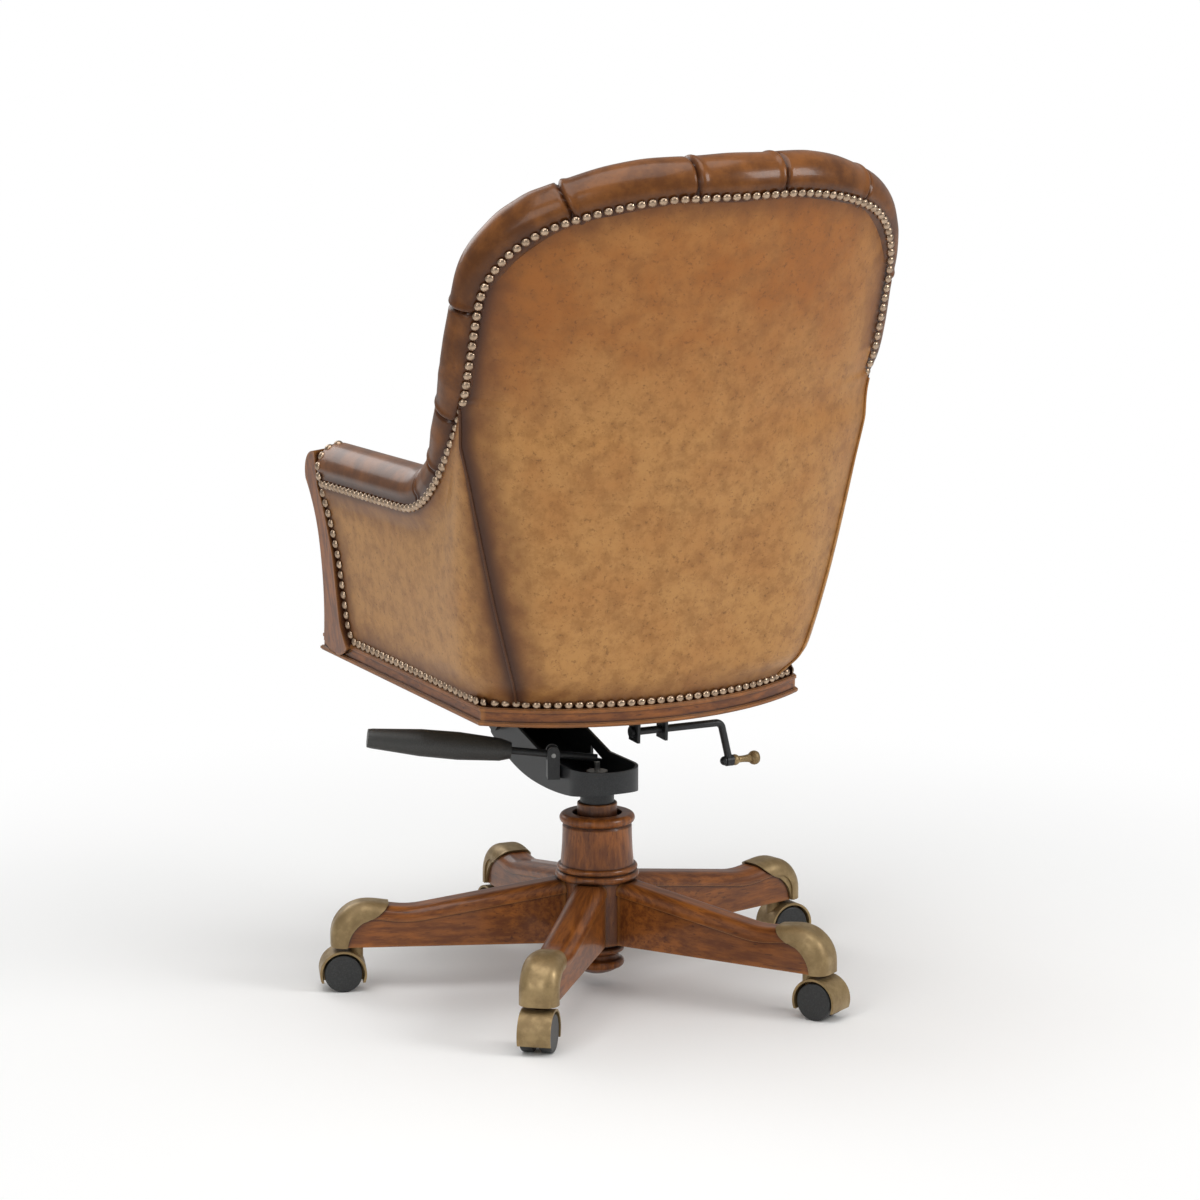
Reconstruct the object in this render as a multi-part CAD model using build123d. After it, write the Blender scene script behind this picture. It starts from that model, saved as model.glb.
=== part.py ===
"""High back leather desk chair on a five-legged swivel base.

Millimetres, +Z up.  The origin is on the floor under the swivel axis, the chair faces -Y
and +X is the sitter's left.  Everything above the tilt pivot is drawn in the seat's own
frame, whose z = 0 is the underside of the seat rail, and is then pitched back with the seat.
"""
import math
import os

from build123d import *

# Base: five legs on a hub
LEG_COUNT = 5
LEG_FIRST_ANGLE = -21.2        # degrees from +X to the first leg
LEG_UNDERSIDE = 61.0           # height of the flat underside
LEG_BODY_WIDTH = 42.0
LEG_RIDGE_WIDTH = 46.0         # rounded moulding on top of the leg
LEG_RIDGE_FILLET = 15.0
LEG_RIDGE_DEPTH = 18.0         # moulding height above its groove
LEG_HUB_TOP = 148.9            # ridge height where it enters the hub
LEG_END_R = 351.0
LEG_DIP_REACH = 99.0           # corners of the ridge line, in from the end
LEG_DIP_Z = 111.5
LEG_RISE_REACH = 51.0
LEG_RISE_Z = 118.0
LEG_DIP = (LEG_END_R - LEG_DIP_REACH, LEG_DIP_Z)
LEG_RISE = (LEG_END_R - LEG_RISE_REACH, LEG_RISE_Z)
LEG_DIP_ROUND = 120.0
LEG_RISE_ROUND = 60.0
LEG_END_ROUND = 44.0
LEG_OVERLAP = 9.0              # body into ridge
HUB_R = 48.0
CAP_WALL = 3.0                 # cast brass cap over the leg's end
CAP_TOE = 77.0                 # from the leg's end in to the cap's tongue on the ridge
CAP_HEEL = 19.0                # and in to its edge on the underside
CAP_WAIST = (40.0, 95.0)       # the same way in, and the height
CAP_HOLLOW = (70.0, 113.5)     # points on the two sweeps of its edge
CAP_SWELL = (27.0, 83.0)
CAP_REACH = 40.0               # margin of the region that trims it

# Turned column, stand tube and finial
COLUMN_TOP = 233.0
COLUMN_RING_R = 50.0
COLUMN_RING_HEIGHT = 13.0
COLUMN_NECK_R = 46.0
COLUMN_FOOT_R = 49.0
COLUMN_BEAD_1_R = 53.5
COLUMN_BEAD_2_R = 55.5
COLUMN_BEAD_1_HALF = 4.5
COLUMN_BEAD_2_HALF = 5.5
COLUMN_BOTTOM = 145.0
COLUMN_MOUTH_R = 33.0          # recess that takes the collar's lip
COLUMN_MOUTH_DEPTH = 16.0
TUBE_R = 25.0
TUBE_WALL = 3.0
TUBE_BOTTOM = 65.0
TUBE_FLOOR = 4.0
BUSH_LENGTH = 56.0
FINIAL_R = 36.0
FINIAL_NECK_R = 30.5
FINIAL_BOTTOM = 14.0

# Gas lift
CHAMBER_R = 14.0
CHAMBER_BORE_R = 9.0
CHAMBER_BOTTOM = 87.0
CHAMBER_TOP = 289.0
CHAMBER_END = 14.0             # thickness of both closed ends
ROD_R = 5.0
ROD_TOP = 229.0
PISTON_HEIGHT = 10.0
BEARING_R = 14.0
BEARING_HEIGHT = 6.0
ROD_COLLAR_R = 9.0
ROD_COLLAR_HEIGHT = 4.0
PIN_R = 4.0
PIN_TOP = 300.8
PIN_LENGTH = 22.0
PIN_TRAVEL = 4.5
COLLAR_R = 26.5
COLLAR_LIP_R = 30.5
COLLAR_LIP_HEIGHT = 8.0
COLLAR_BOTTOM = 220.0
COLLAR_TOP = 247.5

# Twin-wheel casters
STEM_FROM_END = 31.0           # stem in from the leg's end
STEM_CIRCLE_R = LEG_END_R - STEM_FROM_END
STEM_R = 5.5
STEM_BOTTOM = 49.0
STEM_TOP = 91.0
CASTER_TURN = (0.0, 0.0, -2.0, -11.0, 4.0)   # trail direction against each leg, degrees
TRAIL = 18.0
WHEEL_R = 25.0
WHEEL_WIDTH = 16.0
WHEEL_EDGE = 2.0
AXLE_R = 4.0
WEB_THICKNESS = 8.0
WHEEL_SIDE_GAP = 0.6
HOOD_GAP = 3.0                 # wheel rim to hood
HOOD_WALL = 3.0
HOOD_LIP = 1.2                 # hood past the wheels' outer faces
HOOD_DROP = 22.0               # degrees the hood reaches below the axle
BOSS_R = 9.0
BOSS_TOP = 60.5

# Tilt housing over the gas lift
HOUSING_HALF_WIDTH = 48.0
HOUSING_WALL = 4.0
HOUSING_FLOOR = 5.0
HOUSING_REAR_Y = 62.0
HOUSING_RIM = 299.0
HOUSING_FRONT_Y = -226.0
HOUSING_FRONT_RIM = 347.0
HOUSING_FRONT_BOTTOM = 301.0
HOUSING_BOTTOM = 259.0         # lowest line of the curved floor
HOUSING_REAR_BOTTOM = 270.0
HOUSING_KEEL = (-16.0, 260.0)  # points along the floor from the rear to the front
HOUSING_BELLY = (-95.0, 260.5)
HOUSING_CHIN = (-160.0, 272.5)
HOUSING_RIM_BREAK = -55.0      # where the rim starts to rise
NOSE_R = 22.5
WINDOW_Y = -72.0               # triangular window in the right wall
WINDOW_Z = 285.0
WINDOW_SIZE = 22.0

# Knee pivot with its torsion spring
PIVOT_Y = -200.0
PIVOT_Z = 327.0
PIVOT_R = 8.0
PIVOT_SLEEVE_R = 12.2
PIVOT_HALF_LENGTH = 62.0
SPRING_WIRE_R = 3.5
SPRING_TURNS = 8
SPRING_PITCH = 8.6
SPRING_SLEEVE_GAP = 0.3

# Height lever
LEVER_HEADING = -20.4          # degrees from +X, towards the front
LEVER_RISE = 6.4               # degrees upwards
LEVER_PIVOT = (55.0, -20.45, 312.8)
LEVER_ROD_R = 5.0
LEVER_INNER = 59.0             # pivot to inner end
LEVER_GRIP_START = 56.0
LEVER_GRIP_END = 246.0
GRIP_NECK_R = 11.0
GRIP_LOBE = (14.0, 15.0)       # distance from the inner end, and radius there
GRIP_SWELL = (70.0, 18.5)
GRIP_WAIST = (70.0, 18.0)      # distance from the outer end, and radius there
GRIP_RIM = (6.0, 13.2)
GRIP_END_R = 12.2
GRIP_SOLID = 30.0              # grip past the rod's end
LEVER_PIN_R = 3.0
LUG_HALF_LENGTH = 8.0
LUG_HALF_WIDTH = 12.0
LUG_HEIGHT = 11.0              # above the pivot
LUG_DEPTH = 32.0               # below it, into the wall

# Seat frame
SEAT_PITCH = 2.5               # degrees the seat leans back at rest
RAIL_Z = 403.0                 # underside of the rail above the axis
RAIL_HEIGHT = 24.0
RAIL_DEPTH = 42.0
RAIL_REAR_X = 232.0
RAIL_REAR_Y = 126.0
RAIL_REAR_BOW = 76.0
RAIL_FRONT_X = 256.0
RAIL_FRONT_Y = -322.0
RAIL_FRONT_BOW = 6.0
RAIL_JOINT_Y = -276.0          # front joint, hidden behind the post's foot
RAIL_BEAD = 6.0                # height of the bottom bead
RAIL_TOP_BEAD = 7.0
RAIL_COVE_DEPTH = 4.0
RAIL_TOP_SETBACK = 2.5
RAIL_BEAD_EASE = 1.4           # how far a bead's edges are eased
DECK_THICKNESS = RAIL_HEIGHT

# Seat plate, bolts and tension crank
PLATE_THICKNESS = 5.0
PLATE_HALF_WIDTH = 104.0
PLATE_FRONT = -250.0
PLATE_REAR = 120.0
EAR_GAP = 4.0                  # housing wall to ear
EAR_THICKNESS = 6.0
EAR_R = 18.0
BOLT_R = 4.0
BOLT_HEAD_R = 7.5
BOLT_HEAD = 5.5
BOLT_X = 78.0
BOLT_FRONT_Y = -180.0
BOLT_REAR_Y = 95.0
CRANK_Y = 0.0                  # crank axis, seat frame
CRANK_Z = -68.0
CRANK_ROD_R = 5.0
CRANK_INNER_X = -52.3          # head of the rod, clear of the housing beside it
CRANK_ELBOW_X = -186.0
CRANK_ARM_DROP = 54.0
CRANK_ARM_SPLAY = 14.0
CRANK_BEND_R = 10.0
BRACKET_WALL = 4.0
BRACKET_INNER_X = -55.0
BRACKET_OUTER_X = -100.0
BRACKET_HALF_WIDTH = 13.0
EYE_R = 7.5
SPINDLE_R = 3.0
KNOB_LENGTH = 40.0
KNOB_R = 9.5
ACORN_R = 6.0
ACORN_HEIGHT = 8.0

# Back shell: a cone slice raked back
BACK_FOOT_Y = 193.0            # rear line of the shell at its foot
BACK_FOOT_R = 380.0
BACK_FOOT_Z = 30.0
BACK_CROWN_Y = 363.0           # rear line at the top nails
BACK_CROWN_R = 483.0
BACK_CROWN_Z = 708.0
BACK_SHOULDER_X = 289.0        # half width of the nailed edge
BACK_CROWN_RISE = 123.0        # top nails above the shoulder
BACK_SHOULDER_Z = BACK_CROWN_Z - BACK_CROWN_RISE
BACK_SIDE_RUN = 115.0          # straight side below the shoulder
BACK_CORNER_ROUND = 130.0
BACK_CROWN_ROUND = 440.0
BACK_WING_X = 279.0
BACK_WING_Z = 345.0
SKIN = 5.0                     # leather on its stiff backing
FRAME_THICKNESS = 17.0
PANEL_INSET = 20.0             # outside back inside the nailed edge, under the roll
FRAME_INSET = 32.0             # board inside the nailed edge
PAD_INSET = 34.0
PAD_FOOT = 46.0                # thickness of the inside back at the seat
PAD_LUMBAR = 58.0
PAD_LUMBAR_Z = 240.0
PAD_CROWN = 42.0
SOFT_GAP = 0.3
ROLL_R = 33.0
ROLL_INSET = 30.0              # roll's centre line inside the shell's skin
ROLL_OVERHANG = 8.0            # and outside the nailed edge
ROLL_SIDE_ROUND = 500.0        # rounding of the roll's line at its corners
ROLL_TOP_ROUND = 330.0
ROLL_CROWN_ROUND = 460.0

# Deep buttons of the inside back
BUTTON_ROWS = 6
BUTTON_DROP = 147.0            # top row below the top nails
BUTTON_TOP_Z = BACK_CROWN_Z - BUTTON_DROP
BUTTON_STEP_X = 125.0
BUTTON_STEP_Z = 71.5
BUTTON_R = 9.0
BUTTON_HEIGHT = 5.0
TUFT_R = 34.0
TUFT_DEPTH = 18.0

# Arms
ARM_SETBACK = 8.0              # outside arm behind the rail's edge
ARM_FRONT_TOP_X = 295.0        # its flare, at ARM_FLARE_Z
ARM_REAR_TOP_X = 289.0
ARM_FLARE_Z = 400.0
ARM_FRONT_Y = -286.0
ARM_FRONT_Z = 238.0            # nail line at the front
ARM_CROOK_Y = -28.0
ARM_CROOK_Z = 258.0
ARM_BOARD = 14.0
ARM_STUFFING = 24.0
ARM_BOARD_FRONT = 30.0         # board behind the panel's front edge
ARM_BOARD_RISE = 12.0          # and above the nail line
ARM_PAD_FRONT = 34.0
ARM_PAD_RISE = 24.0
BACK_MARGIN = 150.0            # how far a trimming body reaches past the back
ARM_ROLL_X = 248.0
ARM_ROLL_SPLAY = 6.0           # how far the roll spreads towards the back
ARM_ROLL_RISE = 19.0           # roll's centre above the nail line
ARM_ROLL_FRONT_Y = -284.5
POST_HEAD_Y = -288.3            # back of the post's head, clear of the roll's end
ARM_BEND_Y = 72.0
ARM_BEND_Z = 287.0
ARM_BEND_R = 150.0
POST_WIDTH = 46.0
POST_OUTER_X = 253.0
POST_FLARE = 6.0               # degrees outwards
POST_FOOT_Z = 3.0
POST_TONGUE = 22.0             # thickness of the foot over the rail's face
POST_TOP_Z = 283.0
POST_FOOT_FRONT = (-314.0, 15.0)   # side view of the post, front edge upwards
POST_FRONT_HOLLOW = (-298.0, 105.0)
POST_SHIN = (-299.0, 165.0)
POST_CHEST = (-308.0, 203.0)
POST_BROW = (-326.0, 238.0)
POST_FOREHEAD = (-321.0, 262.0)
POST_CREST = (-300.0, 280.0)
POST_NAPE = (-270.0, 190.0)    # and its rear edge downwards
POST_CALF = (-258.0, 140.0)
POST_HEEL = (-255.0, 52.0)
POST_ANKLE = (-249.0, 36.0)
POST_FOOT_BACK = (-238.0, 19.0)
POST_SOLE_Y = -276.0

# Seat cushion and front border
CUSHION_CROWN = 134.0
CUSHION_SIDE_TOP = 96.0
CUSHION_BELLY = 52.0
CUSHION_PULL = 5.0             # how far the sides draw in at the bottom
CUSHION_CORNER = 26.0
CUSHION_FRONT_Y = -316.0
BORDER_THICKNESS = 10.0
BORDER_TOP = 78.0
BORDER_HALF_WIDTH = 248.0
BORDER_CORNER = 22.0

# Fits
RUNNING_FIT = 0.08             # radial, for what turns or slides
SNUG_FIT = 0.04                # radial, for what is pressed or glued in
FACE_GAP = 0.3
ROUND_SHARE = 0.98             # most of a straight run that its two roundings may take


def seat_place(shape):
    """Carry a shape from the seat's frame to where the seat rests."""
    return Pos(0, 0, RAIL_Z) * Rot(-SEAT_PITCH, 0, 0) * shape


def to_seat(y, z):
    """A point of the side plane, taken into the seat's frame."""
    turn = math.radians(SEAT_PITCH)
    rise = z - RAIL_Z
    return (y * math.cos(turn) - rise * math.sin(turn),
            y * math.sin(turn) + rise * math.cos(turn))


def rod_between(radius, bottom, top):
    """Upright cylinder on the swivel axis."""
    return Pos(0, 0, bottom) * Cylinder(radius, top - bottom, align=(Align.CENTER, Align.CENTER, Align.MIN))


def tube_between(outer, inner, bottom, top):
    """Upright tube on the swivel axis."""
    return rod_between(outer, bottom, top) - rod_between(inner, bottom - 1, top + 1)


def turned(lines):
    """Solid turned about the swivel axis from a closed outline in the XZ plane."""
    return revolve(Plane.XZ * make_face(lines), Axis.Z)


def tip_arc(radius, edge_z, tip_z):
    """Arc of a turned end from a rim to the axis, its centre on the axis."""
    height = tip_z - edge_z
    round_r = (radius ** 2 + height ** 2) / (2 * abs(height))
    half = math.asin(radius / round_r) / 2
    if abs(height) > radius:
        half = (math.pi - 2 * half) / 2
    sag = round_r * (1 - math.cos(half))
    middle = (round_r * math.sin(half), tip_z - math.copysign(sag, height))
    return ThreePointArc((radius, edge_z), middle, (0, tip_z))


def fitted_rounds(points, radii):
    """Radii for a line's corners, each limited by the runs that it joins."""
    places = [Vector(*point) for point in points]
    runs = [after - before for before, after in zip(places, places[1:])]
    turns = [math.radians(first.get_angle(second)) for first, second in zip(runs, runs[1:])]
    reaches = [0.0] + [radius * math.tan(turn / 2) for radius, turn in zip(radii, turns)] + [0.0]
    fits = [min(1.0, ROUND_SHARE * run.length / (first + second))
            for run, first, second in zip(runs, reaches, reaches[1:])]
    return [radius * min(before, after) for radius, before, after in zip(radii, fits, fits[1:])]


def mirrored(shape):
    return mirror(shape, Plane.YZ)


def round_array(shape):
    """Five copies of a shape drawn along +X."""
    step = 360 / LEG_COUNT
    return [Rot(0, 0, LEG_FIRST_ANGLE + step * number) * shape for number in range(LEG_COUNT)]


# Base

def leg_shape(wall):
    """A leg's full form, grown by wall: flat-sided body under a rounded moulding."""
    start_r = HUB_R - 14
    start = (start_r, 0, LEG_HUB_TOP + wall)
    dip = (LEG_DIP[0], 0, LEG_DIP[1] + wall)
    rise = (LEG_RISE[0], 0, LEG_RISE[1] + wall)
    corner = (LEG_END_R + wall, 0, LEG_RISE[1] + wall)
    toe = (LEG_END_R + wall, 0, LEG_UNDERSIDE)
    corners = [start, dip, rise, corner, toe]
    rounds = fitted_rounds(corners, [LEG_DIP_ROUND, LEG_RISE_ROUND, LEG_END_ROUND + wall])
    path = FilletPolyline(*corners, radius=rounds)
    depth = LEG_RIDGE_DEPTH + wall
    profile = Pos(0, -depth / 2) * Rectangle(LEG_RIDGE_WIDTH + 2 * wall, depth)
    profile = fillet(profile.vertices().group_by(Axis.Y)[-1], LEG_RIDGE_FILLET + wall)
    ridge = sweep(Plane(path @ 0, x_dir=(0, 1, 0), z_dir=path % 0) * profile, path)
    inner_r = LEG_END_R - LEG_OVERLAP
    body = make_face(Polyline(
        (start_r, LEG_HUB_TOP - LEG_OVERLAP), (LEG_DIP[0], LEG_DIP[1] - LEG_OVERLAP + 2),
        (LEG_RISE[0], LEG_RISE[1] - LEG_OVERLAP),
        (inner_r - LEG_END_ROUND / 3, LEG_RISE[1] - 2 * LEG_OVERLAP),
        (inner_r, LEG_RISE[1] - LEG_END_ROUND), (inner_r, LEG_UNDERSIDE), (start_r, LEG_UNDERSIDE),
        (start_r, LEG_HUB_TOP - LEG_OVERLAP)))
    return ridge + extrude(Plane.XZ * body, LEG_BODY_WIDTH / 2 + wall, both=True)


def leg():
    """One leg, hollowed to the hub and bored for its caster's stem."""
    socket = Pos(STEM_CIRCLE_R, 0, 0) * rod_between(STEM_R + SNUG_FIT, LEG_UNDERSIDE - 1, STEM_TOP)
    bead_room = rod_between(COLUMN_BEAD_2_R + FACE_GAP, COLUMN_BOTTOM - FACE_GAP, COLUMN_TOP)
    return leg_shape(0) - rod_between(HUB_R, 0, COLUMN_TOP) - bead_room - socket


def foot_cap():
    """Cast cap over one leg's end, its rear edge swept from tongue to heel."""
    top_z = LEG_RISE[1] + CAP_REACH
    low_z = LEG_UNDERSIDE - 1
    toe = (LEG_END_R - CAP_TOE, top_z)
    tongue = (LEG_END_R - CAP_TOE, LEG_RISE[1] + CAP_WALL + 1)
    heel = (LEG_END_R - CAP_HEEL, low_z)
    hollow, waist, swell = [(LEG_END_R - inward, z) for inward, z in (CAP_HOLLOW, CAP_WAIST, CAP_SWELL)]
    region = extrude(Plane.XZ * make_face([
        Line(toe, tongue), ThreePointArc(tongue, hollow, waist), ThreePointArc(waist, swell, heel),
        Polyline(heel, (LEG_END_R + CAP_REACH, low_z), (LEG_END_R + CAP_REACH, top_z), toe),
    ]), LEG_RIDGE_WIDTH, both=True)
    return (leg_shape(CAP_WALL) & region) - leg_shape(0)


def stem():
    return Pos(STEM_CIRCLE_R, 0, 0) * rod_between(STEM_R, STEM_BOTTOM, STEM_TOP - 1)


def column():
    """Turned wooden column with its hub, bored for the stand tube."""
    bore = TUBE_R + SNUG_FIT
    bead_2 = COLUMN_BOTTOM + COLUMN_BEAD_2_HALF
    bead_1 = bead_2 + COLUMN_BEAD_2_HALF + COLUMN_BEAD_1_HALF
    body_z = bead_1 + COLUMN_BEAD_1_HALF
    ring_z = COLUMN_TOP - COLUMN_RING_HEIGHT
    round_r = COLUMN_RING_HEIGHT / 2
    ring_in = COLUMN_RING_R - round_r
    waist = (COLUMN_NECK_R + COLUMN_FOOT_R) / 2 - 0.9
    mouth_z = COLUMN_TOP - COLUMN_MOUTH_DEPTH
    bead_1_in = COLUMN_BEAD_1_R - COLUMN_BEAD_1_HALF
    bead_2_in = COLUMN_BEAD_2_R - COLUMN_BEAD_2_HALF
    lines = [
        Polyline((bore, LEG_UNDERSIDE), (HUB_R, LEG_UNDERSIDE), (HUB_R, COLUMN_BOTTOM),
                 (bead_2_in, COLUMN_BOTTOM)),
        ThreePointArc((bead_2_in, COLUMN_BOTTOM), (COLUMN_BEAD_2_R, bead_2),
                      (bead_2_in, bead_2 + COLUMN_BEAD_2_HALF)),
        Line((bead_2_in, bead_2 + COLUMN_BEAD_2_HALF), (bead_1_in, bead_1 - COLUMN_BEAD_1_HALF)),
        ThreePointArc((bead_1_in, bead_1 - COLUMN_BEAD_1_HALF), (COLUMN_BEAD_1_R, bead_1),
                      (bead_1_in, body_z)),
        Line((bead_1_in, body_z), (COLUMN_FOOT_R - 0.4, body_z)),
        ThreePointArc((COLUMN_FOOT_R - 0.4, body_z), (waist, (body_z + ring_z) / 2),
                      (COLUMN_NECK_R, ring_z - 4)),
        Line((COLUMN_NECK_R, ring_z - 4), (ring_in, ring_z)),
        ThreePointArc((ring_in, ring_z), (COLUMN_RING_R, ring_z + round_r), (ring_in, COLUMN_TOP)),
        Polyline((ring_in, COLUMN_TOP), (COLUMN_MOUTH_R, COLUMN_TOP), (COLUMN_MOUTH_R, mouth_z),
                 (bore, mouth_z), (bore, LEG_UNDERSIDE)),
    ]
    return turned(lines)


def finial():
    """Turned drop under the hub."""
    top_z = LEG_UNDERSIDE
    ring_top = top_z - 7
    ring_low = ring_top - 9
    cove_low = ring_low - 9
    torus_low = cove_low - 12
    lines = [
        Polyline((0, top_z), (FINIAL_NECK_R, top_z), (FINIAL_NECK_R, ring_top)),
        ThreePointArc((FINIAL_NECK_R, ring_top), (FINIAL_R, (ring_top + ring_low) / 2),
                      (FINIAL_NECK_R + 1, ring_low)),
        ThreePointArc((FINIAL_NECK_R + 1, ring_low), (FINIAL_NECK_R - 2, ring_low - 4),
                      (FINIAL_NECK_R + 1, cove_low)),
        ThreePointArc((FINIAL_NECK_R + 1, cove_low), (FINIAL_R, cove_low - 6),
                      (FINIAL_NECK_R, torus_low)),
        tip_arc(FINIAL_NECK_R, torus_low, FINIAL_BOTTOM),
        Line((0, FINIAL_BOTTOM), (0, top_z)),
    ]
    return turned(lines)


def stand_tube():
    top = COLUMN_TOP - COLUMN_MOUTH_DEPTH
    bore = rod_between(TUBE_R - TUBE_WALL, TUBE_BOTTOM + TUBE_FLOOR, top + 1)
    return rod_between(TUBE_R, TUBE_BOTTOM, top) - bore


def guide_bush():
    top = COLUMN_TOP - COLUMN_MOUTH_DEPTH
    return tube_between(TUBE_R - TUBE_WALL - SNUG_FIT, CHAMBER_R + RUNNING_FIT, top - BUSH_LENGTH, top)


# Gas lift

def bearing_floor():
    return TUBE_BOTTOM + TUBE_FLOOR + FACE_GAP


def thrust_bearing():
    floor = bearing_floor()
    return tube_between(BEARING_R, ROD_R + SNUG_FIT, floor, floor + BEARING_HEIGHT)


def piston_rod():
    """Rod standing on the thrust bearing, with the piston on top."""
    floor = bearing_floor()
    seat_z = floor + BEARING_HEIGHT
    return (rod_between(ROD_R, floor, ROD_TOP)
            + rod_between(ROD_COLLAR_R, seat_z, seat_z + ROD_COLLAR_HEIGHT)
            + rod_between(CHAMBER_BORE_R - RUNNING_FIT, ROD_TOP - PISTON_HEIGHT, ROD_TOP))


def lift_chamber():
    """Pressure tube with closed ends, bored for the rod below and the valve pin above."""
    tube = rod_between(CHAMBER_R, CHAMBER_BOTTOM, CHAMBER_TOP)
    bore = rod_between(CHAMBER_BORE_R, CHAMBER_BOTTOM + CHAMBER_END,
                       PIN_TOP - PIN_LENGTH - PIN_TRAVEL - CHAMBER_END)
    gland = rod_between(ROD_R + RUNNING_FIT, CHAMBER_BOTTOM - 1, CHAMBER_BOTTOM + CHAMBER_END + 1)
    valve = rod_between(PIN_R + RUNNING_FIT, PIN_TOP - PIN_LENGTH - PIN_TRAVEL - 1, CHAMBER_TOP + 1)
    return tube - bore - gland - valve


def release_pin():
    return rod_between(PIN_R, PIN_TOP - PIN_LENGTH, PIN_TOP)


def lift_collar():
    """Wooden sleeve on the chamber; its lip sits in the column's mouth."""
    sleeve = rod_between(COLLAR_R, COLLAR_BOTTOM, COLLAR_TOP)
    lip = rod_between(COLLAR_LIP_R, COLLAR_BOTTOM, COLLAR_BOTTOM + COLLAR_LIP_HEIGHT)
    lip = fillet(lip.edges().sort_by(Axis.Z)[-1], COLLAR_LIP_HEIGHT / 2)
    sleeve = fillet(sleeve.edges().sort_by(Axis.Z)[-1], 2.0)
    return sleeve + lip - rod_between(CHAMBER_R + SNUG_FIT, COLLAR_BOTTOM - 1, COLLAR_TOP + 1)


# Casters

def axle_turned(shape):
    """Lay a shape drawn about Z along the wheel axle."""
    return Pos(TRAIL, 0, WHEEL_R) * Rot(90, 0, 0) * shape


def wheel_inner():
    return WEB_THICKNESS / 2 + WHEEL_SIDE_GAP


def caster_hood():
    """Die-cast hood: part cylinder over both wheels, centre web and stem boss."""
    inner_r = WHEEL_R + HOOD_GAP
    outer_r = inner_r + HOOD_WALL
    half_width = wheel_inner() + WHEEL_WIDTH + HOOD_LIP
    floor_z = WHEEL_R - outer_r * math.sin(math.radians(HOOD_DROP))
    trim = Pos(TRAIL, 0, floor_z) * Box(4 * outer_r, 4 * outer_r, 2 * outer_r,
                                        align=(Align.CENTER, Align.CENTER, Align.MAX))
    shell = axle_turned(Cylinder(outer_r, 2 * half_width) - Cylinder(inner_r, 2 * half_width + 2))
    web = axle_turned(Cylinder(inner_r + HOOD_WALL / 2, WEB_THICKNESS))
    boss = rod_between(BOSS_R, WHEEL_R, BOSS_TOP) - axle_turned(Cylinder(inner_r, 2 * half_width))
    hood = shell + web - trim + boss
    hood = hood - axle_turned(Cylinder(AXLE_R + SNUG_FIT, 2 * WEB_THICKNESS))
    return hood - rod_between(STEM_R + RUNNING_FIT, STEM_BOTTOM - 0.6, BOSS_TOP + 1)


def caster_axle():
    return axle_turned(Cylinder(AXLE_R, 2 * (wheel_inner() + WHEEL_WIDTH - 3)))


def caster_wheel(side):
    """Wheel with a dished outer face, on the given side of the web."""
    wheel = Cylinder(WHEEL_R, WHEEL_WIDTH)
    wheel = fillet(wheel.edges(), WHEEL_EDGE)
    wheel -= Pos(0, 0, -WHEEL_WIDTH / 2 - 2) * Cylinder(AXLE_R + RUNNING_FIT, 2 * WHEEL_WIDTH - 2)
    wheel -= Pos(0, 0, -WHEEL_WIDTH / 2) * Cylinder(WHEEL_R - 6, 2)
    wheel = Pos(0, 0, wheel_inner() + WHEEL_WIDTH / 2) * wheel
    if side < 0:
        wheel = Rot(180, 0, 0) * wheel
    return axle_turned(wheel)


def caster_place(number, shape):
    """Carry a caster piece, drawn with its stem on the axis, to its leg."""
    angle = LEG_FIRST_ANGLE + number * 360 / LEG_COUNT
    return Rot(0, 0, angle) * Pos(STEM_CIRCLE_R, 0, 0) * Rot(0, 0, CASTER_TURN[number]) * shape


# Tilt housing, pivot and lever

def housing_side(lift):
    """Side outline of the housing, its floor raised by lift."""
    rear_low = (HOUSING_REAR_Y, HOUSING_REAR_BOTTOM + lift)
    keel, belly, chin = [(y, z + lift) for y, z in (HOUSING_KEEL, HOUSING_BELLY, HOUSING_CHIN)]
    front_low = (HOUSING_FRONT_Y, HOUSING_FRONT_BOTTOM + lift)
    rim_break = (HOUSING_RIM_BREAK, HOUSING_RIM)
    front_top = (HOUSING_FRONT_Y, HOUSING_FRONT_RIM)
    return [
        ThreePointArc(rear_low, keel, belly),
        ThreePointArc(belly, chin, front_low),
        Line(front_low, front_top),
        Line(front_top, rim_break),
        Polyline(rim_break, (HOUSING_REAR_Y, HOUSING_RIM), rear_low),
    ]


def housing_block(inset, lift):
    """Housing envelope: side outline across, rounded rear end in plan."""
    half = HOUSING_HALF_WIDTH - inset
    across = extrude(Plane.YZ * make_face(housing_side(lift)), half, both=True)
    centre_y = HOUSING_REAR_Y - HOUSING_HALF_WIDTH
    front_y = HOUSING_FRONT_Y + inset
    plan = make_face([
        Polyline((-half, centre_y), (-half, front_y), (half, front_y), (half, centre_y)),
        ThreePointArc((half, centre_y), (0, centre_y + half), (-half, centre_y)),
    ])
    height = 2 * HOUSING_FRONT_RIM
    return across & extrude(plan, height)


def lever_place(shape):
    """Carry a shape from the lever's own frame, pivot at its origin."""
    return Pos(*LEVER_PIVOT) * Rot(0, 0, LEVER_HEADING) * shape


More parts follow.
